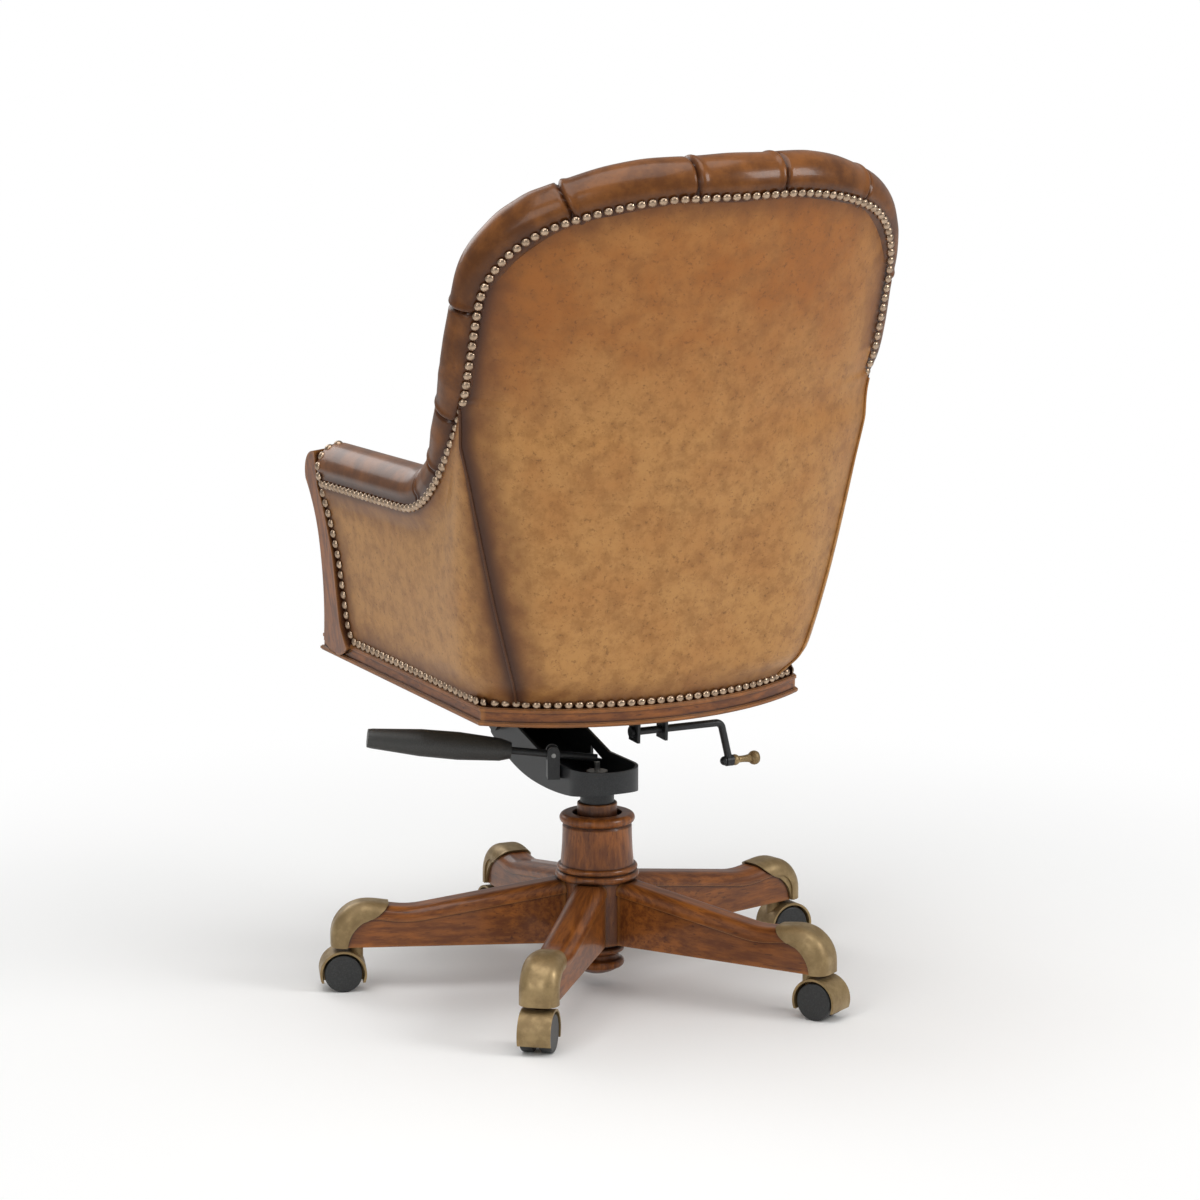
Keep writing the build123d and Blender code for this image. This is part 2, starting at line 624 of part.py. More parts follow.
def lever_lug():
    """Forked lug on the left wall that carries the lever's pin."""
    height = LUG_HEIGHT + LUG_DEPTH
    lug = Pos(0, 0, LUG_HEIGHT - height / 2) * Box(2 * LUG_HALF_LENGTH, 2 * LUG_HALF_WIDTH, height)
    lug = fillet(lug.edges().filter_by(Axis.Y).group_by(Axis.Z)[-1], LUG_HALF_LENGTH - 1)
    slot_half = LEVER_ROD_R + 0.6
    slot_floor = -LEVER_ROD_R - 3.0
    slot = Pos(0, 0, slot_floor) * Box(8 * LUG_HALF_LENGTH, 2 * slot_half, height,
                                       align=(Align.CENTER, Align.CENTER, Align.MIN))
    hole = Rot(90, 0, 0) * Cylinder(LEVER_PIN_R + SNUG_FIT, 4 * LUG_HALF_WIDTH)
    return lug - slot - hole


def tilt_housing():
    """Open-topped cast channel with the lift's nose, the pivot holes and the lever's lug."""
    channel = housing_block(0, 0) - housing_block(HOUSING_WALL, HOUSING_FLOOR)
    lug = lever_place(lever_lug()) - housing_block(HOUSING_WALL, HOUSING_FLOOR)
    nose = rod_between(NOSE_R, COLLAR_TOP + FACE_GAP, HOUSING_BOTTOM + 2 * HOUSING_FLOOR)
    body = channel + lug + nose
    body -= rod_between(CHAMBER_R + SNUG_FIT, COLLAR_TOP - 1, CHAMBER_TOP)
    body -= Pos(0, PIVOT_Y, PIVOT_Z) * Rot(0, 90, 0) * Cylinder(PIVOT_R + SNUG_FIT, 4 * HOUSING_HALF_WIDTH)
    window = Plane.YZ * make_face(Polyline(
        (WINDOW_Y, WINDOW_Z), (WINDOW_Y - 1.6 * WINDOW_SIZE, WINDOW_Z + WINDOW_SIZE * 0.55),
        (WINDOW_Y - 1.6 * WINDOW_SIZE, WINDOW_Z - 0.2 * WINDOW_SIZE), (WINDOW_Y, WINDOW_Z)))
    return body - extrude(window, -2 * HOUSING_HALF_WIDTH)


def pivot_shaft():
    """Stepped shaft: thick between the walls, thin through walls and ears."""
    inside = 2 * (HOUSING_HALF_WIDTH - HOUSING_WALL - FACE_GAP)
    shaft = Cylinder(PIVOT_R, 2 * PIVOT_HALF_LENGTH) + Cylinder(PIVOT_SLEEVE_R, inside)
    return Pos(0, PIVOT_Y, PIVOT_Z) * Rot(0, 90, 0) * shaft


def spring_point(turn):
    """Point on the torsion spring's centre line, turn counted from one end."""
    radius = PIVOT_SLEEVE_R + SPRING_SLEEVE_GAP + SPRING_WIRE_R
    angle = 2 * math.pi * turn
    x = SPRING_PITCH * (turn - SPRING_TURNS / 2)
    return Vector(x, PIVOT_Y + radius * math.cos(angle), PIVOT_Z + radius * math.sin(angle))


def tilt_spring():
    """Torsion spring on the shaft, a quarter turn to each arc."""
    quarters = 4 * SPRING_TURNS
    ends = [spring_point(step / 4) for step in range(quarters + 1)]
    middles = [spring_point((step + 0.5) / 4) for step in range(quarters)]
    arcs = [ThreePointArc(*points) for points in zip(ends, middles, ends[1:])]
    path = Wire(arcs)
    section = Plane(path @ 0, z_dir=path % 0) * Circle(SPRING_WIRE_R)
    samples = [spring_point(step / 24) for step in range(24 * SPRING_TURNS + 1)]
    gap = min((samples[a] - samples[b]).length for a in range(len(samples))
              for b in range(a + 12, len(samples))) - 2 * SPRING_WIRE_R
    print(f"tilt spring: {SPRING_TURNS} turns, least gap {gap:.2f} mm")
    return sweep(section, path)


def lever_axis_place(shape):
    """Lay a shape drawn along Z on the lever's rising line."""
    return lever_place(Rot(0, 90 - LEVER_RISE, 0) * shape)


def lever_rod():
    """Steel rod from above the valve pin out into the grip, drilled for its pin."""
    rod = rod_between(LEVER_ROD_R, -LEVER_INNER, LEVER_GRIP_END - GRIP_SOLID)
    hole = Rot(90, 0, 0) * Cylinder(LEVER_PIN_R + RUNNING_FIT, 4 * LEVER_ROD_R)
    return lever_axis_place(rod) - lever_place(hole)


def lever_pin():
    return lever_place(Rot(90, 0, 0) * Cylinder(LEVER_PIN_R, 2 * LUG_HALF_WIDTH - 1))


def lever_grip():
    """Moulded grip, swelling from its end and rounded off at its inner lobe."""
    stations = [(LEVER_GRIP_START, GRIP_NECK_R)]
    stations += [(LEVER_GRIP_START + place, radius) for place, radius in (GRIP_LOBE, GRIP_SWELL)]
    stations += [(LEVER_GRIP_END - place, radius) for place, radius in (GRIP_WAIST, GRIP_RIM)]
    stations += [(LEVER_GRIP_END, GRIP_END_R)]
    grip = loft([Pos(0, 0, place) * Circle(radius) for place, radius in stations], ruled=True)
    grip -= rod_between(LEVER_ROD_R + SNUG_FIT, LEVER_GRIP_START - 1, LEVER_GRIP_END - GRIP_SOLID)
    return lever_axis_place(grip)


# Seat rail, deck, plate and crank (seat frame)

def rail_outline(inset):
    """Plan of the rail, moved in by inset."""
    rear_x = RAIL_REAR_X - inset
    front_x = RAIL_FRONT_X - inset
    rear_y = RAIL_REAR_Y - 0.35 * inset
    front_y = RAIL_FRONT_Y + inset
    return make_face([
        Polyline((rear_x, rear_y), (front_x, front_y)),
        ThreePointArc((front_x, front_y), (0, front_y - RAIL_FRONT_BOW), (-front_x, front_y)),
        Polyline((-front_x, front_y), (-rear_x, rear_y)),
        ThreePointArc((-rear_x, rear_y), (0, RAIL_REAR_Y + RAIL_REAR_BOW - inset), (rear_x, rear_y)),
    ])


def rail_bead(inset, height):
    """Layer of the rail with its edge eased above and below."""
    ease = RAIL_BEAD_EASE
    core = Pos(0, 0, ease) * extrude(rail_outline(inset), height - 2 * ease)
    return core + extrude(rail_outline(inset + ease), height)


def seat_rail(posts):
    """Moulded rail of four lengths, mitred at the rear and notched for the arm posts."""
    cove_height = RAIL_HEIGHT - RAIL_BEAD - RAIL_TOP_BEAD
    ring = rail_bead(0, RAIL_BEAD)
    ring += Pos(0, 0, RAIL_BEAD) * extrude(rail_outline(RAIL_COVE_DEPTH), cove_height)
    ring += Pos(0, 0, RAIL_BEAD + cove_height) * rail_bead(RAIL_TOP_SETBACK, RAIL_TOP_BEAD)
    ring -= Pos(0, 0, -1) * extrude(rail_outline(RAIL_DEPTH), RAIL_HEIGHT + 2)
    for post in posts:
        ring -= post
    reach = 2 * RAIL_FRONT_X
    middle = RAIL_REAR_X / 2
    inner = (RAIL_REAR_X - RAIL_DEPTH, RAIL_REAR_Y - 0.35 * RAIL_DEPTH)
    outer = (2 * RAIL_REAR_X - inner[0], 2 * RAIL_REAR_Y - inner[1])
    side = extrude(make_face(Polyline(
        outer, inner, (middle, inner[1]), (middle, RAIL_JOINT_Y), (reach, RAIL_JOINT_Y), (reach, outer[1]),
        outer)), RAIL_HEIGHT)
    left = ring & side
    right = ring & mirrored(side)
    rest = ring - side - mirrored(side)
    return [solid for piece in (left, right, rest) for solid in piece.solids()]


def seat_deck():
    return extrude(rail_outline(RAIL_DEPTH + FACE_GAP), DECK_THICKNESS) - plate_holes()


def bolt_places():
    return [(x, y) for x in (-BOLT_X, BOLT_X) for y in (BOLT_FRONT_Y, BOLT_REAR_Y)]


def plate_holes():
    """Clearance holes for the plate's bolts, through plate and deck."""
    return [Pos(x, y, 0) * Cylinder(BOLT_R + SNUG_FIT, 2 * DECK_THICKNESS + 0.02) for x, y in bolt_places()]


def plate_bolts():
    """Hexagon bolts up through the seat plate into the deck."""
    head_z = -PLATE_THICKNESS - BOLT_HEAD
    head = extrude(RegularPolygon(BOLT_HEAD_R, 6), BOLT_HEAD)
    shank = Cylinder(BOLT_R, BOLT_HEAD + PLATE_THICKNESS + DECK_THICKNESS - 1,
                     align=(Align.CENTER, Align.CENTER, Align.MIN))
    return [Pos(x, y, head_z) * (head + shank) for x, y in bolt_places()]


def seat_plate():
    """Pressed plate under the deck with two ears down to the knee pivot."""
    length = PLATE_REAR - PLATE_FRONT
    plate = Pos(0, (PLATE_REAR + PLATE_FRONT) / 2, -PLATE_THICKNESS / 2) * Box(
        2 * PLATE_HALF_WIDTH, length, PLATE_THICKNESS)
    plate = fillet(plate.edges().filter_by(Axis.Z), 20)
    pivot_y, pivot_z = to_seat(PIVOT_Y, PIVOT_Z)
    flank = math.sqrt(0.5) * EAR_R
    ear = make_face([
        Polyline((pivot_y - flank, pivot_z + flank), (pivot_y - 40, -1), (pivot_y + 46, -1),
                 (pivot_y + flank, pivot_z + flank)),
        ThreePointArc((pivot_y + flank, pivot_z + flank), (pivot_y, pivot_z - EAR_R),
                      (pivot_y - flank, pivot_z + flank)),
    ])
    ear -= Pos(pivot_y, pivot_z) * Circle(PIVOT_R + RUNNING_FIT)
    ear = Pos(HOUSING_HALF_WIDTH + EAR_GAP, 0, 0) * extrude(Plane.YZ * ear, EAR_THICKNESS)
    return plate + ear + mirrored(ear) - plate_holes()


def crank_bracket():
    """Channel under the plate with a cheek at each end for the crank's rod."""
    top = -PLATE_THICKNESS
    bottom = CRANK_Z - BRACKET_HALF_WIDTH
    span = BRACKET_INNER_X - BRACKET_OUTER_X
    centre_x = (BRACKET_INNER_X + BRACKET_OUTER_X) / 2
    block = Pos(centre_x, CRANK_Y, (top + bottom) / 2) * Box(span, 2 * BRACKET_HALF_WIDTH, top - bottom)
    hollow = Pos(centre_x, CRANK_Y, (top - BRACKET_WALL + bottom) / 2 - 1) * Box(
        span - 2 * BRACKET_WALL, 4 * BRACKET_HALF_WIDTH, top - BRACKET_WALL - bottom + 2)
    hole = Pos(centre_x, CRANK_Y, CRANK_Z) * Rot(0, 90, 0) * Cylinder(CRANK_ROD_R + RUNNING_FIT, 2 * span)
    return block - hollow - hole


def crank_foot():
    """Centre of the eye at the bottom of the crank's arm."""
    return Vector(CRANK_ELBOW_X - CRANK_ARM_SPLAY, CRANK_Y, CRANK_Z - CRANK_ARM_DROP)


def crank_rod():
    """Bent rod: straight through the bracket, then down to the eye with the knob's pin."""
    inner = Vector(CRANK_INNER_X, CRANK_Y, CRANK_Z)
    elbow = Vector(CRANK_ELBOW_X, CRANK_Y, CRANK_Z)
    foot = crank_foot()
    path = FilletPolyline(inner, elbow, foot, radius=CRANK_BEND_R)
    rod = sweep(Plane(inner, z_dir=elbow - inner) * Circle(CRANK_ROD_R), path)
    head = Pos(CRANK_INNER_X, CRANK_Y, CRANK_Z) * Rot(0, 90, 0) * Cylinder(1.5 * CRANK_ROD_R, 4)
    eye = Pos(*foot) * Rot(0, 90, 0) * Cylinder(EYE_R, 2 * CRANK_ROD_R)
    acorn, pin = crank_spindle()
    return rod + head + eye + acorn + pin


def on_crank_foot(shape):
    """Carry a shape drawn along Z to the eye, pointing outwards."""
    return Pos(*crank_foot()) * Rot(0, -90, 0) * shape


def crank_spindle():
    """Pin through the eye with an acorn nut on its inner end."""
    start = -CRANK_ROD_R
    acorn = turned([Line((0, start), (ACORN_R, start)),
                    tip_arc(ACORN_R, start, start - ACORN_HEIGHT),
                    Line((0, start - ACORN_HEIGHT), (0, start))])
    pin = rod_between(SPINDLE_R, 0, CRANK_ROD_R + KNOB_LENGTH - 6)
    return on_crank_foot(acorn), on_crank_foot(pin)


def crank_knob():
    """Turned knob, waisted near the arm and swelling to its end."""
    base = CRANK_ROD_R + FACE_GAP
    end = base + KNOB_LENGTH
    waist_z = base + 0.42 * KNOB_LENGTH
    belly_z = base + 0.8 * KNOB_LENGTH
    knob = turned([
        Line((0, base), (0.72 * KNOB_R, base)),
        ThreePointArc((0.72 * KNOB_R, base), (0.78 * KNOB_R, base + 4), (0.5 * KNOB_R, waist_z - 8)),
        ThreePointArc((0.5 * KNOB_R, waist_z - 8), (0.48 * KNOB_R, waist_z), (0.62 * KNOB_R, waist_z + 9)),
        ThreePointArc((0.62 * KNOB_R, waist_z + 9), (KNOB_R, belly_z), (0.8 * KNOB_R, end - 2)),
        tip_arc(0.8 * KNOB_R, end - 2, end),
        Line((0, end), (0, base)),
    ])
    return on_crank_foot(knob - rod_between(SPINDLE_R + RUNNING_FIT, 0, base + KNOB_LENGTH - 5))


# Upholstered back (seat frame)

def shell_radius(z):
    share = (z - BACK_FOOT_Z) / (BACK_CROWN_Z - BACK_FOOT_Z)
    return BACK_FOOT_R + (BACK_CROWN_R - BACK_FOOT_R) * share


def shell_rear(z):
    share = (z - BACK_FOOT_Z) / (BACK_CROWN_Z - BACK_FOOT_Z)
    return BACK_FOOT_Y + (BACK_CROWN_Y - BACK_FOOT_Y) * share


def shell_point(x, z, inset):
    """Point on the back's cone at a width and height of its skin, moved in by inset."""
    radius = shell_radius(z)
    angle = math.asin(x / radius)
    reach = radius - inset
    return Vector(reach * math.sin(angle), shell_rear(z) - radius + reach * math.cos(angle), z)


def cone_slice(z, inset_out, inset_in):
    """Curved band of the back at one height, between two depths inside the skin."""
    spread = math.radians(60)
    centre_y = shell_rear(z) - shell_radius(z)

    def on(radius, angle):
        return (radius * math.sin(angle), centre_y + radius * math.cos(angle))

    outer = shell_radius(z) - inset_out
    inner = shell_radius(z) - inset_in
    face = make_face([
        ThreePointArc(on(outer, -spread), on(outer, 0), on(outer, spread)),
        Line(on(outer, spread), on(inner, spread)),
        ThreePointArc(on(inner, spread), on(inner, 0), on(inner, -spread)),
        Line(on(inner, -spread), on(outer, -spread)),
    ])
    return Pos(0, 0, z) * face


def cone_band(inset_out, *stations):
    """Band of the back between heights, each station a height and an inner depth."""
    return loft([cone_slice(z, inset_out, inset_in) for z, inset_in in stations], ruled=True)


def crown_corners(grow):
    """Corners that frame the back's rounded top in front view, moved out by grow."""
    side = BACK_SHOULDER_X + grow
    rise = BACK_CROWN_Z - BACK_SHOULDER_Z + grow
    share = math.sqrt(2) - 1
    return [(side, BACK_SHOULDER_Z + share * rise), (share * side, BACK_SHOULDER_Z + rise)]


def back_outline(inset, foot_inset):
    """Prism of the back's front view, its edge and its foot moved in."""
    side = BACK_SHOULDER_X - inset
    foot_z = RAIL_HEIGHT
    foot = RAIL_REAR_X - ARM_SETBACK - foot_inset
    wing = BACK_WING_X - foot_inset
    right = crown_corners(-inset)
    left = [(-x, z) for x, z in reversed(right)]
    start = (side, BACK_SHOULDER_Z - BACK_SIDE_RUN)
    end = (-side, BACK_SHOULDER_Z - BACK_SIDE_RUN)
    shoulder = BACK_CORNER_ROUND - inset
    top = BACK_CROWN_ROUND - inset
    corners = [start, *right, *left, end]
    crown = FilletPolyline(*corners, radius=fitted_rounds(corners, [shoulder, top, top, shoulder]))
    edge = Polyline(end, (-wing, BACK_WING_Z), (-foot, foot_z), (foot, foot_z), (wing, BACK_WING_Z), start)
    return extrude(Plane.XZ * make_face([crown, edge]), 600, both=True)


def roll_path():
    """Centre line of the edge roll from the left arm over the back to the right arm."""
    corner, top = crown_corners(ROLL_OVERHANG)
    left = [
        Vector(ARM_ROLL_X, ARM_ROLL_FRONT_Y, ARM_FRONT_Z + ARM_ROLL_RISE),
        Vector(ARM_ROLL_X + ARM_ROLL_SPLAY, ARM_BEND_Y, ARM_BEND_Z),
        shell_point(corner[0], BACK_SHOULDER_Z - BACK_SIDE_RUN, ROLL_INSET),
        shell_point(*corner, ROLL_INSET),
        shell_point(*top, ROLL_INSET),
    ]
    crown = shell_point(0, top[1], ROLL_INSET)
    right = [Vector(-point.X, point.Y, point.Z) for point in reversed(left)]
    radii = [ARM_BEND_R, ROLL_SIDE_ROUND, BACK_CORNER_ROUND + ROLL_OVERHANG, ROLL_TOP_ROUND]
    corners = [*left, crown, *right]
    return FilletPolyline(*corners, radius=fitted_rounds(corners, radii + [ROLL_CROWN_ROUND] + radii[::-1]))


def edge_roll(radius):
    """Stuffed roll of leather, given a radius so that neighbours can clear it."""
    path = roll_path()
    return sweep(Plane(path @ 0, z_dir=path % 0) * Circle(radius), path)


def back_height():
    return BACK_CROWN_Z + 60


def outside_back(roll):
    band = cone_band(0, (RAIL_HEIGHT, SKIN), (back_height(), SKIN))
    return (band & back_outline(PANEL_INSET, 0)) - roll


def back_frame(roll):
    """Bent board behind the stuffing."""
    depth = SKIN + FACE_GAP
    inner = depth + FRAME_THICKNESS
    band = cone_band(depth, (RAIL_HEIGHT, inner), (back_height(), inner))
    return (band & back_outline(FRAME_INSET, FRAME_INSET)) - roll


def pad_depth(z):
    """Depth of the inside back's face at a height."""
    back = SKIN + FRAME_THICKNESS + 2 * FACE_GAP
    if z < PAD_LUMBAR_Z:
        share = (z - RAIL_HEIGHT) / (PAD_LUMBAR_Z - RAIL_HEIGHT)
        return back + PAD_FOOT + (PAD_LUMBAR - PAD_FOOT) * share
    share = (z - PAD_LUMBAR_Z) / (back_height() - PAD_LUMBAR_Z)
    return back + PAD_LUMBAR + (PAD_CROWN - PAD_LUMBAR) * share


def button_places():
    """Width and height of each deep button, in staggered rows."""
    places = []
    for row in range(BUTTON_ROWS):
        z = BUTTON_TOP_Z - row * BUTTON_STEP_Z
        count = 4 if row % 2 == 0 else 3
        places += [((column - (count - 1) / 2) * BUTTON_STEP_X, z) for column in range(count)]
    return places


def pad_place(x, z, depth, shape):
    """Put a shape drawn along +Z on the inside back, +Z into the room."""
    radius = shell_radius(z) - depth
    angle = math.degrees(math.asin(x / radius))
    y = shell_rear(z) - shell_radius(z) + radius * math.cos(math.radians(angle))
    return Pos(x, y, z) * Rot(0, 0, -angle) * Rot(90, 0, 0) * shape


def back_pad(roll):
    """Stuffed inside back with a dimple for every button."""
    depth = SKIN + FRAME_THICKNESS + 2 * FACE_GAP
    band = cone_band(depth, (RAIL_HEIGHT, pad_depth(RAIL_HEIGHT)), (PAD_LUMBAR_Z, pad_depth(PAD_LUMBAR_Z)),
                     (back_height(), pad_depth(back_height())))
    pad = (band & back_outline(PAD_INSET, PAD_INSET)) - roll
    for x, z in button_places():
        pad -= pad_place(x, z, pad_depth(z), Pos(0, 0, TUFT_R - TUFT_DEPTH) * Sphere(TUFT_R))
    return pad


def back_buttons():
    """Covered buttons at the bottom of the dimples."""
    rim_rise = TUFT_R - math.sqrt(TUFT_R ** 2 - BUTTON_R ** 2) + FACE_GAP
    button = Cylinder(BUTTON_R, BUTTON_HEIGHT, align=(Align.CENTER, Align.CENTER, Align.MIN))
    button = fillet(button.edges().sort_by(Axis.Z)[-1], BUTTON_HEIGHT - 1.5)
    button = Pos(0, 0, rim_rise - TUFT_DEPTH) * button
    return [pad_place(x, z, pad_depth(z), button) for x, z in button_places()]


# Arms (seat frame, left side)

def arm_line(z, depth, y):
    """Half width of the outside arm at a height and place, moved in by depth."""
    share = (z - RAIL_HEIGHT) / (ARM_FLARE_Z - RAIL_HEIGHT)
    along = (y - RAIL_FRONT_Y) / (RAIL_REAR_Y - RAIL_FRONT_Y)
    low = RAIL_FRONT_X + (RAIL_REAR_X - RAIL_FRONT_X) * along - ARM_SETBACK
    high = ARM_FRONT_TOP_X + (ARM_REAR_TOP_X - ARM_FRONT_TOP_X) * along
    return low + (high - low) * share - depth


def arm_slab(depth_out, depth_in):
    """Flared slab of the arm between two depths inside its skin."""
    def strip(z):
        front, rear = RAIL_FRONT_Y, RAIL_REAR_Y + 90
        return Pos(0, 0, z) * make_face(Polyline(
            (arm_line(z, depth_out, front), front), (arm_line(z, depth_out, rear), rear),
            (arm_line(z, depth_in, rear), rear), (arm_line(z, depth_in, front), front),
            (arm_line(z, depth_out, front), front)))
    return loft([strip(RAIL_HEIGHT), strip(ARM_FLARE_Z)], ruled=True)


def arm_side(front_inset, top_rise):
    """Prism of the arm's side view, behind the post and under the roll."""
    front = ARM_FRONT_Y + front_inset
    top_front = (front, ARM_FRONT_Z + top_rise)
    crook = (ARM_CROOK_Y, ARM_CROOK_Z + top_rise)
    wing = (RAIL_REAR_Y + 4, BACK_WING_Z + 6 + top_rise)
    waist = (front + 24, 146.0)
    foot = (front + 64, RAIL_HEIGHT)
    lines = [
        ThreePointArc(foot, (front + 22, 84.0), waist),
        ThreePointArc(waist, (front + 13, 198.0), top_front),
        Line(top_front, crook),
        ThreePointArc(crook, (RAIL_REAR_Y - 46, BACK_WING_Z - 58 + top_rise), wing),
        Polyline(wing, (RAIL_REAR_Y + 90, BACK_WING_Z + 40 + top_rise),
                 (RAIL_REAR_Y + 90, RAIL_HEIGHT), foot),
    ]
    return extrude(Plane.YZ * make_face(lines), 2 * RAIL_FRONT_X)


def behind_back(depth):
    """Everything from a depth of the back's cone outwards."""
    return cone_band(-BACK_MARGIN, (RAIL_HEIGHT - 1, depth), (back_height(), depth))


def arm_layer(depth, thickness, front_inset, top_rise, reach, roll):
    """One layer of the arm between the post, the back and the roll."""
    layer = arm_slab(depth, depth + thickness) & arm_side(front_inset, top_rise)
    return layer - behind_back(reach) - roll


def arm_panel(roll):
    """Outside arm: leather on its stiff backing."""
    return arm_layer(0, SKIN, 0, 0, SKIN + FACE_GAP, roll) - arm_post(FACE_GAP)


def arm_board(roll):
    """Board between the outside arm and its stuffing."""
    reach = SKIN + FRAME_THICKNESS + 2 * FACE_GAP
    return arm_layer(SKIN + FACE_GAP, ARM_BOARD, ARM_BOARD_FRONT, ARM_BOARD_RISE, reach, roll)


def arm_pad(roll):
    """Stuffed inside arm below the roll."""
    reach = SKIN + FRAME_THICKNESS + PAD_LUMBAR + 4 * FACE_GAP
    depth = SKIN + ARM_BOARD + 2 * FACE_GAP
    return arm_layer(depth, ARM_STUFFING, ARM_PAD_FRONT, ARM_PAD_RISE, reach, roll)


def arm_post(clearance):
    """Shaped show-wood post with a scrolled head and a rounded foot over the rail."""
    def grown(point, side):
        return point[0] + side * clearance, point[1]

    foot_front, hollow, shin, chest, brow, forehead = [grown(point, -1) for point in (
        POST_FOOT_FRONT, POST_FRONT_HOLLOW, POST_SHIN, POST_CHEST, POST_BROW, POST_FOREHEAD)]
    nape, calf, heel, ankle, foot_back = [grown(point, 1) for point in (
        POST_NAPE, POST_CALF, POST_HEEL, POST_ANKLE, POST_FOOT_BACK)]
    crest = (POST_CREST[0], POST_CREST[1] + clearance)
    head_back = (POST_HEAD_Y + clearance, ARM_FRONT_Z - 4)
    lines = [
        ThreePointArc(foot_front, hollow, shin),
        ThreePointArc(shin, chest, brow),
        ThreePointArc(brow, forehead, crest),
        Polyline(crest, (POST_HEAD_Y + clearance, POST_TOP_Z + clearance), head_back),
        ThreePointArc(head_back, nape, calf),
        Line(calf, heel),
        ThreePointArc(heel, ankle, foot_back),
        ThreePointArc(foot_back, (POST_SOLE_Y, POST_FOOT_Z - clearance), foot_front),
    ]
    width = POST_WIDTH + 2 * clearance
    post = extrude(Plane.YZ * make_face(lines), -width)
    rail_room = Box(2 * POST_WIDTH, 2 * abs(RAIL_FRONT_Y), RAIL_HEIGHT + FACE_GAP - clearance,
                    align=(Align.MAX, Align.MAX, Align.MIN))
    post -= Pos(-POST_TONGUE - 2 * clearance, 0, 0) * rail_room
    return Pos(POST_OUTER_X + clearance, 0, 0) * Rot(0, POST_FLARE, 0) * post


# Seat (seat frame)

def cushion_slice(z, inset):
    """Plan of the cushion at a height: straight sides, hollowed rear edge."""
    arm_depth = SKIN + ARM_BOARD + ARM_STUFFING + 6 * FACE_GAP
    front_x = arm_line(CUSHION_BELLY, arm_depth, CUSHION_FRONT_Y) - inset
    rear_x = front_x - 24
    front_y = CUSHION_FRONT_Y + inset
    side_y = 20.0 - inset
    rear_y = shell_rear(RAIL_HEIGHT) - pad_depth(PAD_LUMBAR_Z) - 10 - inset
    face = make_face([
        Polyline((rear_x, side_y), (front_x, front_y), (-front_x, front_y), (-rear_x, side_y)),
        ThreePointArc((-rear_x, side_y), (0, rear_y), (rear_x, side_y)),
    ])
    face = fillet(face.vertices(), CUSHION_CORNER)
    return Pos(0, 0, z) * face


def seat_cushion():
    """Crowned cushion whose sides draw in towards the deck."""
    bottom = DECK_THICKNESS + SOFT_GAP
    stations = ((bottom, CUSHION_PULL), (CUSHION_BELLY, 0.0), (CUSHION_SIDE_TOP, 2.0),
                (CUSHION_SIDE_TOP + 20, 14.0), (CUSHION_CROWN - 6, 44.0), (CUSHION_CROWN, 100.0))
    return loft([cushion_slice(z, inset) for z, inset in stations], ruled=True)


def front_border():
    """Padded border in front of the cushion and the posts' feet."""
    rear_y = RAIL_FRONT_Y + 0.5
    front_y = rear_y - BORDER_THICKNESS
    height = BORDER_TOP - RAIL_HEIGHT - SOFT_GAP
    face = Rectangle(2 * BORDER_HALF_WIDTH, height)
    face = fillet(face.vertices().group_by(Axis.Y)[-1], BORDER_CORNER)
    pad = extrude(Plane.XZ * face, BORDER_THICKNESS)
    pad = fillet(pad.faces().sort_by(Axis.Y)[0].edges(), 0.45 * BORDER_THICKNESS)
    return Pos(0, (rear_y + front_y) / 2 + BORDER_THICKNESS / 2, RAIL_HEIGHT + SOFT_GAP + height / 2) * pad


def write(name, shape):
    """One file per node; a list becomes a group of separate solids."""
    if isinstance(shape, (list, ShapeList)):
        solids = [solid for piece in shape for solid in piece.solids()]
    else:
        solids = list(shape.solids())
    body = solids[0] if len(solids) == 1 else Compound(children=solids)
    export_step(body, f"parts/{name}.step")


